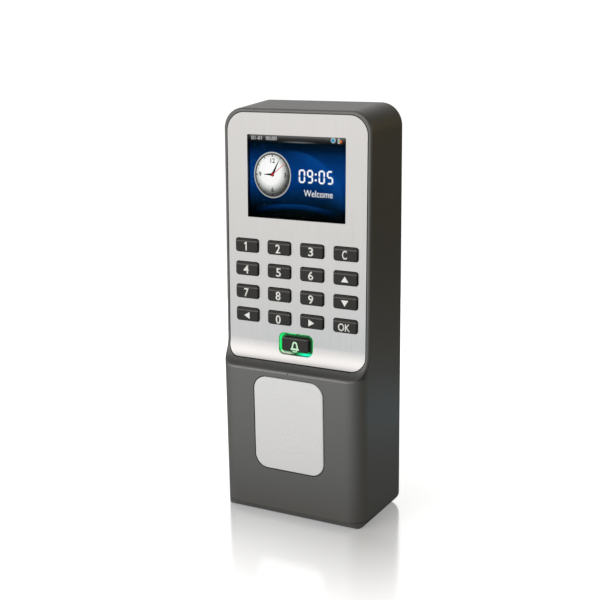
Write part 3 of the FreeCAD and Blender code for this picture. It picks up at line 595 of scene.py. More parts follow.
def outline_mesh(name, loops, extrude, mat, matrix):
    """A flat shape with thickness from a list of closed loops of (x, y); the first is the outside."""
    bm = bmesh.new()
    edges = []
    for loop in loops:
        vs = [bm.verts.new((x, y, 0)) for x, y in loop]
        for i in range(len(vs)):
            edges.append(bm.edges.new((vs[i], vs[(i + 1) % len(vs)])))
    bmesh.ops.triangle_fill(bm, use_beauty=True, use_dissolve=False, edges=edges, normal=(0, 0, 1))
    for f in bm.faces:
        if f.normal.z < 0:
            f.normal_flip()
    r = bmesh.ops.extrude_face_region(bm, geom=list(bm.faces))
    up = [g for g in r["geom"] if isinstance(g, bmesh.types.BMVert)]
    bmesh.ops.translate(bm, verts=up, vec=(0, 0, extrude))
    bmesh.ops.recalc_face_normals(bm, faces=bm.faces)
    me = bpy.data.meshes.new(name)
    bm.to_mesh(me)
    bm.free()
    me.materials.append(mat)
    ob = bpy.data.objects.new(name, me)
    scene.collection.objects.link(ob)
    me.transform(matrix)
    return ob


def stroke_loops(points, w, closed=False):
    """Outline loops of a line of width w through points."""
    n = len(points)
    left, right = [], []
    for i, p in enumerate(points):
        a = points[(i - 1) % n] if (closed or i > 0) else p
        b = points[(i + 1) % n] if (closed or i < n - 1) else p
        d = Vector((b[0] - a[0], b[1] - a[1]))
        d.normalize()
        nx, ny = -d.y, d.x
        left.append((p[0] + nx * w / 2, p[1] + ny * w / 2))
        right.append((p[0] - nx * w / 2, p[1] - ny * w / 2))
    if closed:
        return [left, list(reversed(right))]
    return [left + list(reversed(right))]


def arc_pts(cx, cy, r, a0, a1, n, ry=None):
    ry = r if ry is None else ry
    return [(cx + r * math.cos(math.radians(a0 + (a1 - a0) * i / n)),
             cy + ry * math.sin(math.radians(a0 + (a1 - a0) * i / n))) for i in range(n + 1)]


# ---------------------------------------------------------------- key legends
def ink_mat(name, lo, hi, glow=0.0):
    """Pad-printed ink: slightly uneven cover and gloss."""
    m, nt, b = new_mat(name)
    n = noise(nt, coords(nt), 2600.0, 4.0)
    c = mix(nt, n, lo, hi)
    nt.links.new(c, b.inputs["Base Color"])
    nt.links.new(remap(nt, n, 0.3, 0.7, 0.45, 0.62), b.inputs["Roughness"])
    nt.links.new(bump(nt, n, 0.000004, 0.6), b.inputs["Normal"])
    # glow paints light into the ink: the print emits its own colour
    if glow:
        nt.links.new(c, b.inputs["Emission Color"])
        b.inputs["Emission Strength"].default_value = glow
    return m


INK = ink_mat("legend_ink", (0.80, 0.78, 0.71), (0.94, 0.92, 0.85))
# the bell symbol's ink carries a faint painted glow; no lamp lights it
BELL_INK_AND_GLOW = ink_mat("bell_ink", (0.46, 0.78, 0.48), (0.62, 0.92, 0.62), glow=0.12)

LEGENDS = {"key_1": "1", "key_2": "2", "key_3": "3", "key_4": "4", "key_5": "5", "key_6": "6",
           "key_7": "7", "key_8": "8", "key_9": "9", "key_0": "0", "key_clear": "C", "key_ok": "OK"}
PRINT = 0.030 * MM
DROP = {"key_1": -0.31, "key_2": -0.31, "key_3": -0.31, "key_clear": -0.31, "key_4": -0.31, "key_5": -0.31,
        "key_6": -0.31, "key_7": -0.42, "key_8": -0.42, "key_9": -0.42, "key_0": -0.62, "key_ok": -0.60}
SIDE = {"key_5": 0.10}               # most printing sits a little left of the middle, mm
for key, chars in LEGENDS.items():
    o = key_face(key)
    pos = o + Vector((SIDE.get(key, -0.25) * MM, 0, 0)) + U_UP * (DROP[key] * MM) - N_UP * (0.002 * MM)
    if chars == "1":
        one = [(0.38, 1.98), (0.38, -1.98), (-0.22, -1.98), (-0.22, 1.02), (-0.92, 0.86), (-0.92, 1.32), (-0.48, 1.50), (-0.14, 1.98)]
        ob = outline_mesh(key + "_legend", [[(x * MM, y * MM) for x, y in one]], PRINT, INK, basis(pos, U_UP, N_UP))
    else:
        w = {"C": 2.40, "OK": 5.9, "4": 2.75, "7": 2.5}.get(chars, 2.55) * MM
        h = (3.55 if chars == "OK" else 4.0) * MM
        ob = text_mesh(key + "_legend", chars, h, w, 0.018, PRINT, INK, basis(pos, U_UP, N_UP))
    finish_piece(ob, key)


def rounded_tri(pts, r=0.12):
    out = []
    n = len(pts)
    for i in range(n):
        p, a, b = Vector(pts[i]), Vector(pts[i - 1]), Vector(pts[(i + 1) % n])
        da, db = (a - p).normalized(), (b - p).normalized()
        s, e = p + da * r, p + db * r
        for k in range(5):
            t = k / 4
            q = (s * (1 - t) + p * t) * (1 - t) + (p * (1 - t) + e * t) * t
            out.append((q.x, q.y))
    return out


ARROWS = {"key_up": [(-1.80, -1.25), (1.80, -1.25), (0, 1.40)],
          "key_down": [(-1.80, 1.35), (0, -1.40), (1.80, 1.35)],
          "key_left": [(1.30, 1.60), (-1.55, 0), (1.30, -1.60)],
          "key_right": [(-1.30, 1.60), (-1.30, -1.60), (1.55, 0)]}
for key, pts in ARROWS.items():
    o = key_face(key)
    pos = o + Vector((-0.10 * MM, 0, 0)) + U_UP * (-0.42 * MM) - N_UP * (0.002 * MM)
    loop = [(x * MM, y * MM) for x, y in rounded_tri(pts)]
    finish_piece(outline_mesh(key + "_legend", [loop], PRINT, INK, basis(pos, U_UP, N_UP)), key)

# bell symbol on the doorbell key: an outlined bell with a base and clapper
o = key_face("doorbell_key")
pos = o + Vector((-0.04 * MM, 0, 0)) + U_UP * (-0.80 * MM) - N_UP * (0.002 * MM)
half = [(0.0, 2.40), (0.56, 2.26), (1.06, 1.84), (1.34, 1.10), (1.50, 0.20), (1.70, -0.55), (2.12, -1.15), (2.22, -1.42),
        (2.05, -1.62), (1.0, -1.66)]
hole = [(0.0, 1.60), (0.44, 1.42), (0.70, 0.84), (0.80, 0.10), (0.92, -0.58), (0.65, -0.74), (0.0, -0.76)]
bell_loops = [[(x * MM, y * MM) for x, y in h + [(0.0, h[-1][1])] * (h[-1][0] > 0) + [(-a, b) for a, b in reversed(h[1:]) if a > 0]]
              for h in (half, hole)]
bm_obs = [outline_mesh("bell_a", bell_loops, PRINT, BELL_INK_AND_GLOW, basis(pos, U_UP, N_UP))]
smile = [(-1.15, -1.95), (-0.7, -2.22), (0.0, -2.36), (0.7, -2.22), (1.15, -1.95)]
bm_obs.append(outline_mesh("bell_b", stroke_loops([(x * MM, y * MM) for x, y in smile], 0.50 * MM), PRINT,
                           BELL_INK_AND_GLOW, basis(pos, U_UP, N_UP)))


def join(name, obs):
    bm = bmesh.new()
    mats = []
    for ob in obs:
        base = len(bm.faces)
        start = len(mats)
        idx = []
        for m in ob.data.materials:
            if m not in mats:
                mats.append(m)
            idx.append(mats.index(m))
        bm.from_mesh(ob.data)
        bm.faces.ensure_lookup_table()
        for f in list(bm.faces)[base:]:
            f.material_index = idx[f.material_index] if idx else 0
    me = bpy.data.meshes.new(name)
    bm.to_mesh(me)
    bm.free()
    for m in mats:
        me.materials.append(m)
    for ob in obs:
        d = ob.data
        bpy.data.objects.remove(ob)
        bpy.data.meshes.remove(d)
    ob = bpy.data.objects.new(name, me)
    scene.collection.objects.link(ob)
    return ob


finish_piece(join("doorbell_symbol", bm_obs), "doorbell_key")

# ---------------------------------------------------------------- the display
L0, LU, LN, LHW, LHH = slab_front("lcd_panel", SIN_T / COS_T)
AHW, AHH = 24.48 * MM, 18.36 * MM     # active area of a 2.4-inch cell


def lcd(x, z, lift):
    """A point on the active area: x, z in mm from its middle, lift in mm in front of the glass."""
    return L0 + Vector((x * MM, 0, 0)) + LU * (z * MM) - LN * (lift * MM)


def lcd_basis(x, z, lift):
    return basis(lcd(x, z, lift), LU, LN)


def emit_mat(name, build, strength=1.0):
    """A lit part of the picture: its colour comes out as light, with almost no gloss of its own."""
    m, nt, b = new_mat(name)
    col = build(nt)
    b.inputs["Base Color"].default_value = (0.0, 0.0, 0.0, 1)
    n = noise(nt, coords(nt), 900.0)
    nt.links.new(remap(nt, n, 0.3, 0.7, 0.50, 0.60), b.inputs["Roughness"])
    b.inputs["Specular IOR Level"].default_value = 0.0
    nt.links.new(col, b.inputs["Emission Color"])
    b.inputs["Emission Strength"].default_value = strength
    return m


def pic_coords(nt):
    """x and z in mm from the middle of the active area."""
    o = xyz(nt)
    x = mth(nt, "MULTIPLY", mth(nt, "SUBTRACT", o[0], L0.x), 1000.0)
    z = mth(nt, "MULTIPLY", mth(nt, "SUBTRACT", o[2], L0.z), 1000.0)
    return x, z


def blue_field(nt):
    """Dark-to-royal-blue field with broad curved bands, darker to the top and bottom."""
    x, z = pic_coords(nt)
    z1 = remap(nt, z, -18.36, 18.36, 0.0, 1.0)
    S = lambda r, g, b: srgb(r, g, b)
    field = ramp(nt, z1, [(0.0, S(0, 0, 0)), (0.06, S(0, 1, 2)), (0.11, S(0, 5, 10)), (0.165, S(0, 13, 28)),
                          (0.22, S(0, 24, 53)), (0.30, S(0, 35, 78)), (0.40, S(0, 48, 110)), (0.50, S(1, 56, 124)),
                          (0.60, S(1, 52, 118)), (0.70, S(0, 44, 100)), (0.78, S(0, 34, 78)), (0.84, S(0, 18, 42)),
                          (0.90, S(0, 11, 24)), (1.0, S(0, 12, 25))])

    def inside(cx, cz, r, soft, ax=1.0, az=1.0):
        dx = mth(nt, "MULTIPLY", mth(nt, "SUBTRACT", x, cx), ax)
        dz = mth(nt, "MULTIPLY", mth(nt, "SUBTRACT", z, cz), az)
        d = mth(nt, "SQRT", mth(nt, "ADD", mth(nt, "MULTIPLY", dx, dx), mth(nt, "MULTIPLY", dz, dz)))
        return remap(nt, d, r - soft, r, 1.0, 0.0), d
    # broad bright arc sweeping from the upper middle down the right side
    a, d1 = inside(-4.0, -14.0, 27.0, 9.0, ax=1.0, az=1.06)
    edge = mth(nt, "MULTIPLY", remap(nt, d1, 18.0, 26.6, 0.0, 1.0), remap(nt, d1, 26.6, 27.6, 1.0, 0.0))
    edge = mth(nt, "MULTIPLY", edge, mth(nt, "MULTIPLY", remap(nt, x, -10.0, 6.0, 0.0, 1.0), remap(nt, z, -15.0, -2.0, 0.0, 1.0)))
    field = mix(nt, mth(nt, "MULTIPLY", edge, 0.45), field, S(4, 78, 160))
    # thin low arc
    lo, d2 = inside(-1.0, -43.0, 30.9, 2.6, ax=0.62)
    line = mth(nt, "MULTIPLY", remap(nt, d2, 28.6, 30.9, 0.0, 1.0), remap(nt, d2, 30.9, 31.5, 1.0, 0.0))
    line = mth(nt, "MULTIPLY", line, remap(nt, mth(nt, "ABSOLUTE", mth(nt, "ADD", x, 1.0)), 8.0, 21.0, 1.0, 0.0))
    field = mix(nt, mth(nt, "MULTIPLY", line, 0.55), field, S(0, 58, 125))
    n = noise(nt, coords(nt), 90.0, 3.0)
    field = mix(nt, 1.0, field, ramp(nt, n, [(0.3, (0.86, 0.86, 0.86, 1)), (0.7, (1.1, 1.1, 1.1, 1))]), "MULTIPLY")
    return field


def grid_plate(name, x0, x1, z0, z1, lift, mat, nx=24, nz=18, r=0.0):
    """A thin plate on the picture plane, its corners rounded by r."""
    loop = []
    for cx, cz, a in ((x1 - r, z1 - r, 0), (x0 + r, z1 - r, 90), (x0 + r, z0 + r, 180), (x1 - r, z0 + r, 270)):
        if r > 0:
            loop += arc_pts(cx, cz, r, a, a + 90, 6)
        else:
            loop.append((cx, cz))
    return outline_mesh(name, [[(x * MM, z * MM) for x, z in loop]], 0.004 * MM, mat, lcd_basis(0, 0, lift))


PIC = emit_mat("picture_blue", blue_field, 1.0)
pic = grid_plate("screen_field", -24.75, 24.48, -18.36, 18.36, 0.012, PIC, r=0.15)
finish_piece(pic, "terminal")


def bar_field(nt):
    x, z = pic_coords(nt)
    t = remap(nt, z, 15.1, 18.36, 0.0, 1.0)
    col = ramp(nt, t, [(0.0, srgb(9, 12, 16)), (0.10, srgb(20, 22, 24)), (0.30, srgb(34, 34, 33)), (0.55, srgb(50, 50, 50)),
                       (0.78, srgb(84, 84, 84)), (1.0, srgb(112, 112, 112))])
    dx = mth(nt, "DIVIDE", x, 9.0)
    dz = mth(nt, "DIVIDE", mth(nt, "SUBTRACT", z, 15.35), 0.55)
    d = mth(nt, "ADD", mth(nt, "MULTIPLY", dx, dx), mth(nt, "MULTIPLY", dz, dz))
    glow = remap(nt, d, 0.0, 1.0, 0.75, 0.0)
    return mix(nt, glow, col, srgb(110, 112, 116))


bar = grid_plate("screen_status_bar", -24.75, 24.48, 15.15, 18.36, 0.018, emit_mat("picture_bar", bar_field), r=0.1)
finish_piece(bar, "terminal")


def flat(c):
    """One lit colour with the cell's slight unevenness."""
    def build(nt):
        n = noise(nt, coords(nt), 1400.0, 2.0)
        return mix(nt, n, tuple(v * 0.90 for v in c[:3]), tuple(min(1.0, v * 1.08) for v in c[:3]))
    return build


WHITE = emit_mat("picture_white", flat(srgb(238, 243, 250)))
SOFT_WHITE = emit_mat("picture_soft_white", flat(srgb(196, 208, 226)))
GREY = emit_mat("picture_grey", flat(srgb(214, 214, 214)))
DARK = emit_mat("picture_dark", flat(srgb(24, 24, 24)))
RED = emit_mat("picture_red", flat(srgb(222, 60, 60)))
SILVER = emit_mat("picture_silver", flat(srgb(176, 180, 182)))

# clock: rim, shaded face, ticks, numerals and hands (mm from the picture's middle)
CX, CZ = -13.15, 155.9 - 155.35
RX, RZ = 9.42, 10.33


def ell(k, n=72, cx=CX, cz=CZ):
    return [((cx + RX * k * math.cos(2 * math.pi * i / n)) * MM, (cz + RZ * k * math.sin(2 * math.pi * i / n)) * MM) for i in range(n)]


def face_field(nt):
    x, z = pic_coords(nt)
    dx = mth(nt, "DIVIDE", mth(nt, "SUBTRACT", x, CX - 1.0), RX)
    dz = mth(nt, "DIVIDE", mth(nt, "SUBTRACT", z, CZ + 1.6), RZ)
    d = mth(nt, "SQRT", mth(nt, "ADD", mth(nt, "MULTIPLY", dx, dx), mth(nt, "MULTIPLY", dz, dz)))
    return ramp(nt, d, [(0.0, srgb(255, 255, 255)), (0.56, srgb(246, 247, 245)), (0.74, srgb(196, 198, 194)),
                        (0.88, srgb(120, 121, 118)), (1.0, srgb(66, 67, 66))])


def rim_field(nt):
    x, z = pic_coords(nt)
    dx = mth(nt, "DIVIDE", mth(nt, "SUBTRACT", x, CX), RX)
    dz = mth(nt, "DIVIDE", mth(nt, "SUBTRACT", z, CZ), RZ)
    d = mth(nt, "SQRT", mth(nt, "ADD", mth(nt, "MULTIPLY", dx, dx), mth(nt, "MULTIPLY", dz, dz)))
    lit = ramp(nt, d, [(0.80, srgb(92, 92, 90)), (0.875, srgb(64, 64, 62)), (0.93, srgb(78, 78, 76)),
                       (0.95, srgb(165, 168, 166)), (0.975, srgb(196, 199, 198)), (1.0, srgb(118, 124, 128))])
    return mix(nt, 1.0, lit, ramp(nt, remap(nt, z, -10.0, 11.0, 0, 1), [(0, (0.80, 0.80, 0.80, 1)), (1, (1.1, 1.1, 1.1, 1))]), "MULTIPLY")


items = []
items.append(outline_mesh("c1", [ell(1.0)], 0.004 * MM, emit_mat("picture_rim", rim_field), lcd_basis(0, 0, 0.018)))
items.append(outline_mesh("c2", [ell(0.875)], 0.004 * MM, emit_mat("picture_face", face_field), lcd_basis(0, 0, 0.024)))
for i in range(12):
    a = math.radians(30 * i)
    r0, r1 = (0.80, 0.885) if i % 3 else (0.785, 0.885)
    w = 0.34 if i % 3 else 0.44
    p0 = Vector((CX + RX * r0 * math.sin(a), CZ + RZ * r0 * math.cos(a)))
    p1 = Vector((CX + RX * r1 * math.sin(a), CZ + RZ * r1 * math.cos(a)))
    items.append(outline_mesh("tick", stroke_loops([(p0.x * MM, p0.y * MM), (p1.x * MM, p1.y * MM)], w * MM),
                              0.004 * MM, DARK, lcd_basis(0, 0, 0.030)))
for s, px, pz in (("12", -12.96, 162.35), ("3", -6.75, 156.1), ("6", -13.1, 149.45), ("9", -19.4, 156.1)):
    items.append(text_mesh("n" + s, s, 2.05 * MM, None, 0.018, 0.004 * MM, DARK, lcd_basis(px, pz - 155.35, 0.030)))
HCX, HCZ = -13.08, 156.15 - 155.35


def hand(a, l, tail, w0, w1, mat, lift):
    d = Vector((math.sin(math.radians(a)), math.cos(math.radians(a))))
    n = Vector((d.y, -d.x))
    c = Vector((HCX, HCZ))
    pts = [c - d * tail - n * w0 * 0.4, c - d * tail + n * w0 * 0.4, c + n * w0 / 2, c + d * l + n * w1 / 2,
           c + d * l - n * w1 / 2, c - n * w0 / 2]
    return outline_mesh("hand", [[(p.x * MM, p.y * MM) for p in pts]], 0.004 * MM, mat, lcd_basis(0, 0, lift))


items.append(hand(-91, 4.35, 0.8, 1.15, 0.28, DARK, 0.036))
items.append(hand(26.8, 7.1, 0.9, 1.2, 0.22, DARK, 0.036))
items.append(outline_mesh("hub", [[(x * MM, z * MM) for x, z in arc_pts(HCX, HCZ, 0.85, 0, 345, 23)]], 0.004 * MM, DARK, lcd_basis(0, 0, 0.0365)))
items.append(hand(50.6, 7.7, 1.3, 0.34, 0.26, RED, 0.043))
items.append(outline_mesh("hub2", [[(x * MM, z * MM) for x, z in arc_pts(HCX, HCZ, 0.42, 0, 345, 23)]], 0.004 * MM, RED, lcd_basis(0, 0, 0.0435)))
finish_piece(join("screen_clock", items), "terminal")

# seven-segment time
def seg_digit(x0, z0, w, h, t, on):
    """Segments a-g as bevel-ended bars."""
    g = 0.10
    out = []

    def bar_h(xa, xb, z, k):
        return [(xa + t * 0.35, z + t / 2), (xb - t * 0.35, z + t / 2), (xb, z), (xb - t * 0.35, z - t / 2), (xa + t * 0.35, z - t / 2), (xa, z)]

    def bar_v(x, za, zb):
        return [(x - t / 2, za + t * 0.35), (x, za), (x + t / 2, za + t * 0.35), (x + t / 2, zb - t * 0.35), (x, zb), (x - t / 2, zb - t * 0.35)]
    zt, zm, zb = z0 + h - t / 2, z0 + h / 2, z0 + t / 2
    xl, xr = x0 + t / 2, x0 + w - t / 2
    if "a" in on: out.append(bar_h(xl + g, xr - g, zt, 0))
    if "d" in on: out.append(bar_h(xl + g, xr - g, zb, 0))
    if "g" in on: out.append(bar_h(xl + g, xr - g, zm, 0))
    if "f" in on: out.append(bar_v(xl, zm + g, zt - g))
    if "b" in on: out.append(bar_v(xr, zm + g, zt - g))
    if "e" in on: out.append(bar_v(xl, zb + g, zm - g))
    if "c" in on: out.append(bar_v(xr, zb + g, zm - g))
    return out


SEG = {"0": "abcdef", "9": "abcdfg", "5": "acdfg"}
items = []
zb0 = 153.15 - 155.35
for ch, xd, wd in (("0", 0.12, 3.25), ("9", 4.2, 3.05), ("0", 9.9, 3.15), ("5", 13.95, 3.1)):
    for loop in seg_digit(xd, zb0, wd, 6.0, 0.80, SEG[ch]):
        items.append(outline_mesh("sg", [[(x * MM, z * MM) for x, z in loop]], 0.004 * MM, WHITE, lcd_basis(0, 0, 0.018)))
for zc in (zb0 + 1.55, zb0 + 4.1):
    items.append(outline_mesh("cl", [[(x * MM, z * MM) for x, z in arc_pts(8.55, zc, 0.52, 0, 337.5, 15)]], 0.004 * MM, WHITE, lcd_basis(0, 0, 0.018)))
items.append(text_mesh("w", "Welcome", 2.95 * MM, 14.2 * MM, 0.0, 0.004 * MM, WHITE, lcd_basis(9.75, 148.75 - 155.35, 0.018)))
items.append(text_mesh("d", "01-01  00:00", 1.60 * MM, 12.9 * MM, 0.0, 0.004 * MM, GREY, lcd_basis(-17.3, 172.15 - 155.35, 0.026)))
finish_piece(join("screen_figures", items), "terminal")

# two small round marks at the end of the bar, and faint bubbles on the field
items = []
ICON_B = emit_mat("picture_icon_blue", flat(srgb(40, 150, 190)))
ICON_O = emit_mat("picture_icon_orange", flat(srgb(226, 96, 40)))
ICON_G = emit_mat("picture_icon_green", flat(srgb(90, 170, 90)))
ix, iz = 16.95, 172.3 - 155.35
items.append(outline_mesh("i1", [[(x * MM, z * MM) for x, z in arc_pts(ix, iz, 1.22, 0, 345, 23)]], 0.004 * MM, SILVER, lcd_basis(0, 0, 0.026)))
items.append(outline_mesh("i2", [[(x * MM, z * MM) for x, z in arc_pts(ix - 0.1, iz - 0.1, 0.82, 0, 345, 23)]], 0.004 * MM, ICON_B, lcd_basis(0, 0, 0.032)))
ix, iz = 20.2, 172.05 - 155.35
items.append(outline_mesh("i3", [[((ix + x) * MM, (iz + z) * MM) for x, z in [(-1.1, 1.15), (-0.1, 1.15), (0.2, 0.2), (0.0, -1.1), (-1.1, -1.1)]]], 0.004 * MM, SILVER, lcd_basis(0, 0, 0.026)))
items.append(outline_mesh("i4", [[(x * MM, z * MM) for x, z in arc_pts(ix + 0.35, iz - 0.15, 0.66, 0, 337, 15)]], 0.004 * MM, ICON_O, lcd_basis(0, 0, 0.032)))
items.append(outline_mesh("i5", [[(x * MM, z * MM) for x, z in arc_pts(ix - 0.25, iz + 0.05, 0.42, 0, 337, 15)]], 0.004 * MM, ICON_G, lcd_basis(0, 0, 0.038)))
finish_piece(join("screen_icons", items), "terminal")

items = []
BUBBLE = emit_mat("picture_bubble", flat(srgb(12, 52, 100)))
BUBBLE2 = emit_mat("picture_bubble_faint", flat(srgb(6, 32, 70)))
for bx, bz, r, w, mm_ in ((-22.6, 161.45, 1.35, 0.22, BUBBLE), (-17.75, 168.4, 0.8, 0.5, BUBBLE2), (-21.9, 166.9, 0.6, 0.16, BUBBLE2),
                          (-22.9, 165.0, 0.45, 0.14, BUBBLE2), (-20.4, 165.2, 0.38, 0.14, BUBBLE2), (-24.2, 155.8, 0.5, 0.3, BUBBLE),
                          (17.6, 165.4, 0.55, 0.4, BUBBLE2), (15.3, 168.9, 0.9, 0.16, BUBBLE2), (18.4, 168.6, 0.6, 0.14, BUBBLE2)):
    c = arc_pts(bx, bz - 155.35, r, 0, 345, 23)
    items.append(outline_mesh("bb", stroke_loops([(x * MM, z * MM) for x, z in c], w * MM, closed=True), 0.003 * MM, mm_, lcd_basis(0, 0, 0.0175)))
finish_piece(join("screen_bubbles", items), "terminal")

# ------------------------------------------------------------ reader pad symbol
PAD_LEAN = -0.01095
P0, PU, PN, PHW, PHH = slab_front("reader_pad", PAD_LEAN)
pad_mid_z = 43.75
SYM = ink_mat("pad_symbol_ink", (0.735, 0.711, 0.690), (0.765, 0.740, 0.718))
items = []


def pad_item(loops):
    m = basis(P0 - PN * (0.001 * MM), PU, PN)
    items.append(outline_mesh("ps", [[(x * MM, y * MM) for x, y in l] for l in loops], 0.008 * MM, SYM, m))


def three_arc(a, b, c, n=14):
    """Points on the circle through three points."""
    ax, ay = a; bx, by = b; cx, cy = c
    d = 2 * (ax * (by - cy) + bx * (cy - ay) + cx * (ay - by))
    ux = ((ax * ax + ay * ay) * (by - cy) + (bx * bx + by * by) * (cy - ay) + (cx * cx + cy * cy) * (ay - by)) / d
    uy = ((ax * ax + ay * ay) * (cx - bx) + (bx * bx + by * by) * (ax - cx) + (cx * cx + cy * cy) * (bx - ax)) / d
    r = math.hypot(ax - ux, ay - uy)
    a0, a1 = math.atan2(ay - uy, ax - ux), math.atan2(cy - uy, cx - ux)
    am = math.atan2(by - uy, bx - ux)
    if not (min(a0, a1) <= am <= max(a0, a1)):
        if a0 < a1: a0 += 2 * math.pi
        else: a1 += 2 * math.pi
    return [(ux + r * math.cos(a0 + (a1 - a0) * i / n), uy + r * math.sin(a0 + (a1 - a0) * i / n)) for i in range(n + 1)]


Q = lambda x, z: (x, z - pad_mid_z)
for a, b, c in (((-6.0, 55.3), (0.2, 56.9), (6.3, 55.1)), ((-4.3, 52.4), (0.1, 53.5), (4.4, 52.3)), ((-2.6, 49.6), (0.0, 50.3), (2.5, 49.6)),
                ((-6.4, 32.6), (0.0, 30.6), (6.2, 32.4)), ((-4.3, 35.2), (0.0, 33.9), (4.2, 35.1))):
    pad_item(stroke_loops(three_arc(Q(*a), Q(*b), Q(*c)), 0.55))
card = [(-3.6, 46.6), (3.6, 46.6), (3.6, 41.9), (-3.6, 41.9)]
ring = []
for cx, cz, a in ((3.2, 46.2, 0), (-3.2, 46.2, 90), (-3.2, 42.3, 180), (3.2, 42.3, 270)):
    ring += arc_pts(cx, cz - pad_mid_z, 0.5, a, a + 90, 5)
pad_item(stroke_loops(ring, 0.42, closed=True))
pad_item(stroke_loops([Q(-2.6, 43.4), Q(0.4, 43.4)], 0.4))
thumb = three_arc(Q(-3.2, 38.4), Q(0.0, 40.4), Q(3.4, 38.2))
pad_item(stroke_loops(thumb, 0.42))
finish_piece(join("pad_symbol", items), "terminal")

# ============================================================ floor and lights
lo, hi = CAD_LO, CAD_HI
FZ = lo.z - 0.0003


def stage_disc(name, z, r, n=96):
    me = bpy.data.meshes.new(name)
    me.from_pydata([(r * math.cos(2 * math.pi * i / n), r * math.sin(2 * math.pi * i / n) - 0.02, z) for i in range(n)], [], [list(range(n))])
    ob = bpy.data.objects.new(name, me)
    scene.collection.objects.link(ob)
    return ob


floor = stage_disc("floor", FZ, 0.42)
# pale floor: evenly lit, with a little gloss round the foot of the object
fm, fnt, fb = new_mat("floor_white")
fb.inputs["Base Color"].default_value = (0.90, 0.90, 0.90, 1)
fb.inputs["Roughness"].default_value = 0.6
fb.inputs["Specular IOR Level"].default_value = 0.1
fb.inputs["Emission Color"].default_value = (1, 1, 1, 1)
fb.inputs["Emission Strength"].default_value = 0.85
fgl = fnt.nodes.new("ShaderNodeBsdfGlossy")
fgl.inputs["Color"].default_value = (0.95, 0.95, 0.95, 1)
fgl.inputs["Roughness"].default_value = 0.15
fo = xyz(fnt)
fdx = mth(fnt, "MAXIMUM", mth(fnt, "SUBTRACT", mth(fnt, "ABSOLUTE", fo[0]), hi.x), 0.0)
fdy = mth(fnt, "MAXIMUM", mth(fnt, "SUBTRACT", mth(fnt, "ABSOLUTE", mth(fnt, "SUBTRACT", fo[1], (lo.y + hi.y) / 2)), (hi.y - lo.y) / 2), 0.0)
fdist = mth(fnt, "SQRT", mth(fnt, "ADD", mth(fnt, "MULTIPLY", fdx, fdx), mth(fnt, "MULTIPLY", fdy, fdy)))
fgm = fnt.nodes.new("ShaderNodeMixShader")
fnt.links.new(remap(fnt, fdist, 0.0, 0.105, 0.66, 0.0), fgm.inputs[0])
fnt.links.new(fb.outputs[0], fgm.inputs[1])
fnt.links.new(fgl.outputs[0], fgm.inputs[2])
fdim = fnt.nodes.new("ShaderNodeBsdfDiffuse")
fdim.inputs["Color"].default_value = (0.30, 0.30, 0.30, 1)
flp = fnt.nodes.new("ShaderNodeLightPath")
fmx = fnt.nodes.new("ShaderNodeMixShader")
fout = next(n for n in fnt.nodes if n.type == "OUTPUT_MATERIAL")
fnt.links.new(flp.outputs["Is Camera Ray"], fmx.inputs[0])
fbounce = fnt.nodes.new("ShaderNodeEmission")
fbounce.inputs["Color"].default_value = (0.84, 0.93, 1.0, 1)
# the floor in front lies in the full light and throws it back; nearer and behind it is dimmer
fnt.links.new(mth(fnt, "MULTIPLY", remap(fnt, fo[1], -0.05, -0.22, 0.12, 1.15), remap(fnt, fo[0], 0.02, 0.22, 1.0, 0.25)), fbounce.inputs["Strength"])
fadd = fnt.nodes.new("ShaderNodeAddShader")
fnt.links.new(fdim.outputs[0], fadd.inputs[0])
fnt.links.new(fbounce.outputs[0], fadd.inputs[1])
fnt.links.new(fadd.outputs[0], fmx.inputs[1])
fnt.links.new(fgm.outputs[0], fmx.inputs[2])
# one-sided: the underside can be looked at from below
fgeo = fnt.nodes.new("ShaderNodeNewGeometry")
ftr = fnt.nodes.new("ShaderNodeBsdfTransparent")
fone = fnt.nodes.new("ShaderNodeMixShader")
fnt.links.new(fgeo.outputs["Backfacing"], fone.inputs[0])
fnt.links.new(fmx.outputs[0], fone.inputs[1])
fnt.links.new(ftr.outputs[0], fone.inputs[2])
fnt.links.new(fone.outputs[0], fout.inputs[0])
floor.data.materials.append(fm)

w = bpy.data.worlds.new("studio")
scene.world = w
w.use_nodes = True
wn = w.node_tree
wn.nodes.clear()
wo = wn.nodes.new("ShaderNodeOutputWorld")
wtc = wn.nodes.new("ShaderNodeTexCoord")


def sky_lobe(name, direction, power, strength, col=(1, 1, 1)):
    """Soft light from one side of the room: a cosine lobe round a direction."""
    bg = wn.nodes.new("ShaderNodeBackground")
    bg.name = name
    bg.inputs[1].default_value = strength
    if direction is None:
        bg.inputs[0].default_value = (*col, 1)
        return bg
    d = Vector(direction).normalized()
    dt = wn.nodes.new("ShaderNodeVectorMath")
    dt.operation = "DOT_PRODUCT"
    wn.links.new(wtc.outputs["Generated"], dt.inputs[0])
    dt.inputs[1].default_value = d
    f = mth(wn, "POWER", mth(wn, "MAXIMUM", dt.outputs["Value"], 0.0), power)
    wn.links.new(mix(wn, f, (0, 0, 0), col), bg.inputs[0])
    return bg


def add_up(shaders):
    out = shaders[0].outputs[0]
    for sh in shaders[1:]:
        a = wn.nodes.new("ShaderNodeAddShader")
        wn.links.new(out, a.inputs[0])
        wn.links.new(sh.outputs[0], a.inputs[1])
        out = a.outputs[0]
    return out


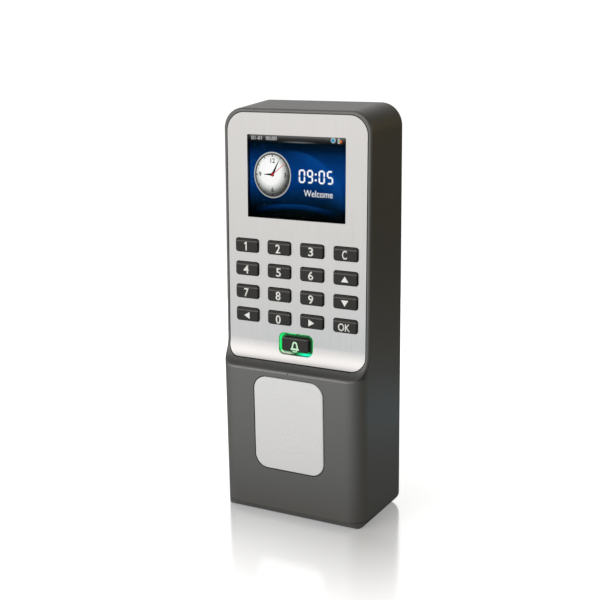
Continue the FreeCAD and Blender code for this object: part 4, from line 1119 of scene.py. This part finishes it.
room = add_up([sky_lobe("room", None, 1, 0.012),
               sky_lobe("front", (-0.35, -0.93, 0.04), 2.6, 1.55),
               sky_lobe("front_high", (-0.45, -0.65, 0.62), 11.0, 1.62),
               sky_lobe("top", (0.0, -0.1, 1.0), 3.0, 0.05),
               sky_lobe("back_left", (-0.55, 0.80, 0.25), 4.0, 1.02)])
white = wn.nodes.new("ShaderNodeBackground")
white.name = "seen"
white.inputs[0].default_value = (1, 1, 1, 1)
white.inputs[1].default_value = 1.05
lp = wn.nodes.new("ShaderNodeLightPath")
mx = wn.nodes.new("ShaderNodeMixShader")
wn.links.new(lp.outputs["Is Camera Ray"], mx.inputs[0])
wn.links.new(room, mx.inputs[1])
wn.links.new(white.outputs[0], mx.inputs[2])
wn.links.new(mx.outputs[0], wo.inputs[0])


def area(name, loc, target, sx, sy, power, col=(1, 1, 1), spread=math.pi):
    l = bpy.data.lights.new(name, "AREA")
    l.shape = "RECTANGLE"
    l.size, l.size_y = sx, sy
    l.energy = power
    l.color = col
    l.spread = spread
    ob = bpy.data.objects.new(name, l)
    scene.collection.objects.link(ob)
    ob.location = loc
    d = Vector(target) - Vector(loc)
    ob.rotation_euler = d.to_track_quat("-Z", "Y").to_euler()
    ob.visible_camera = False
    return ob


mid = (lo + hi) / 2
area("overhead", (-0.10, 0.05, 1.1), (-0.02, -0.02, 0.0), 0.9, 0.9, 1.0)
area("front_left", (-0.95, -1.05, 0.40), mid, 1.6, 1.3, 0.6)
area("right_high", (0.42, 0.16, 0.19), (0.038, -0.02, 0.05), 0.25, 0.20, 0.22, (1.0, 0.78, 0.32))
area("right_low", (0.115, 0.060, -0.080), (0.038, -0.010, -0.062), 0.09, 0.02, 0.004, (0.50, 0.80, 1.0))

# ===================================================================== camera
cam_d = bpy.data.cameras.new("camera")
cam_d.sensor_width = 36.0
cam_d.lens = 68.44
cam_d.clip_start, cam_d.clip_end = 0.01, 20.0
cam = bpy.data.objects.new("camera", cam_d)
scene.collection.objects.link(cam)
yaw, pitch, roll = math.radians(28.163), math.radians(13.763), math.radians(-0.709)
back = Vector((math.sin(yaw) * math.cos(pitch), -math.cos(yaw) * math.cos(pitch), math.sin(pitch)))
fwd = -back
right = fwd.cross(Vector((0, 0, 1))).normalized()
upv = right.cross(fwd)
r2 = math.cos(roll) * right + math.sin(roll) * upv
u2 = -math.sin(roll) * right + math.cos(roll) * upv
loc = Vector((0.236223, -0.467600, 0.128942)) - r2 * 0.00023
cm = Matrix.Identity(4)
for i, v in enumerate((r2, u2, back)):
    for k in range(3):
        cm[k][i] = v[k]
for k in range(3):
    cm[k][3] = loc[k]
cam.matrix_world = cm
scene.camera = cam
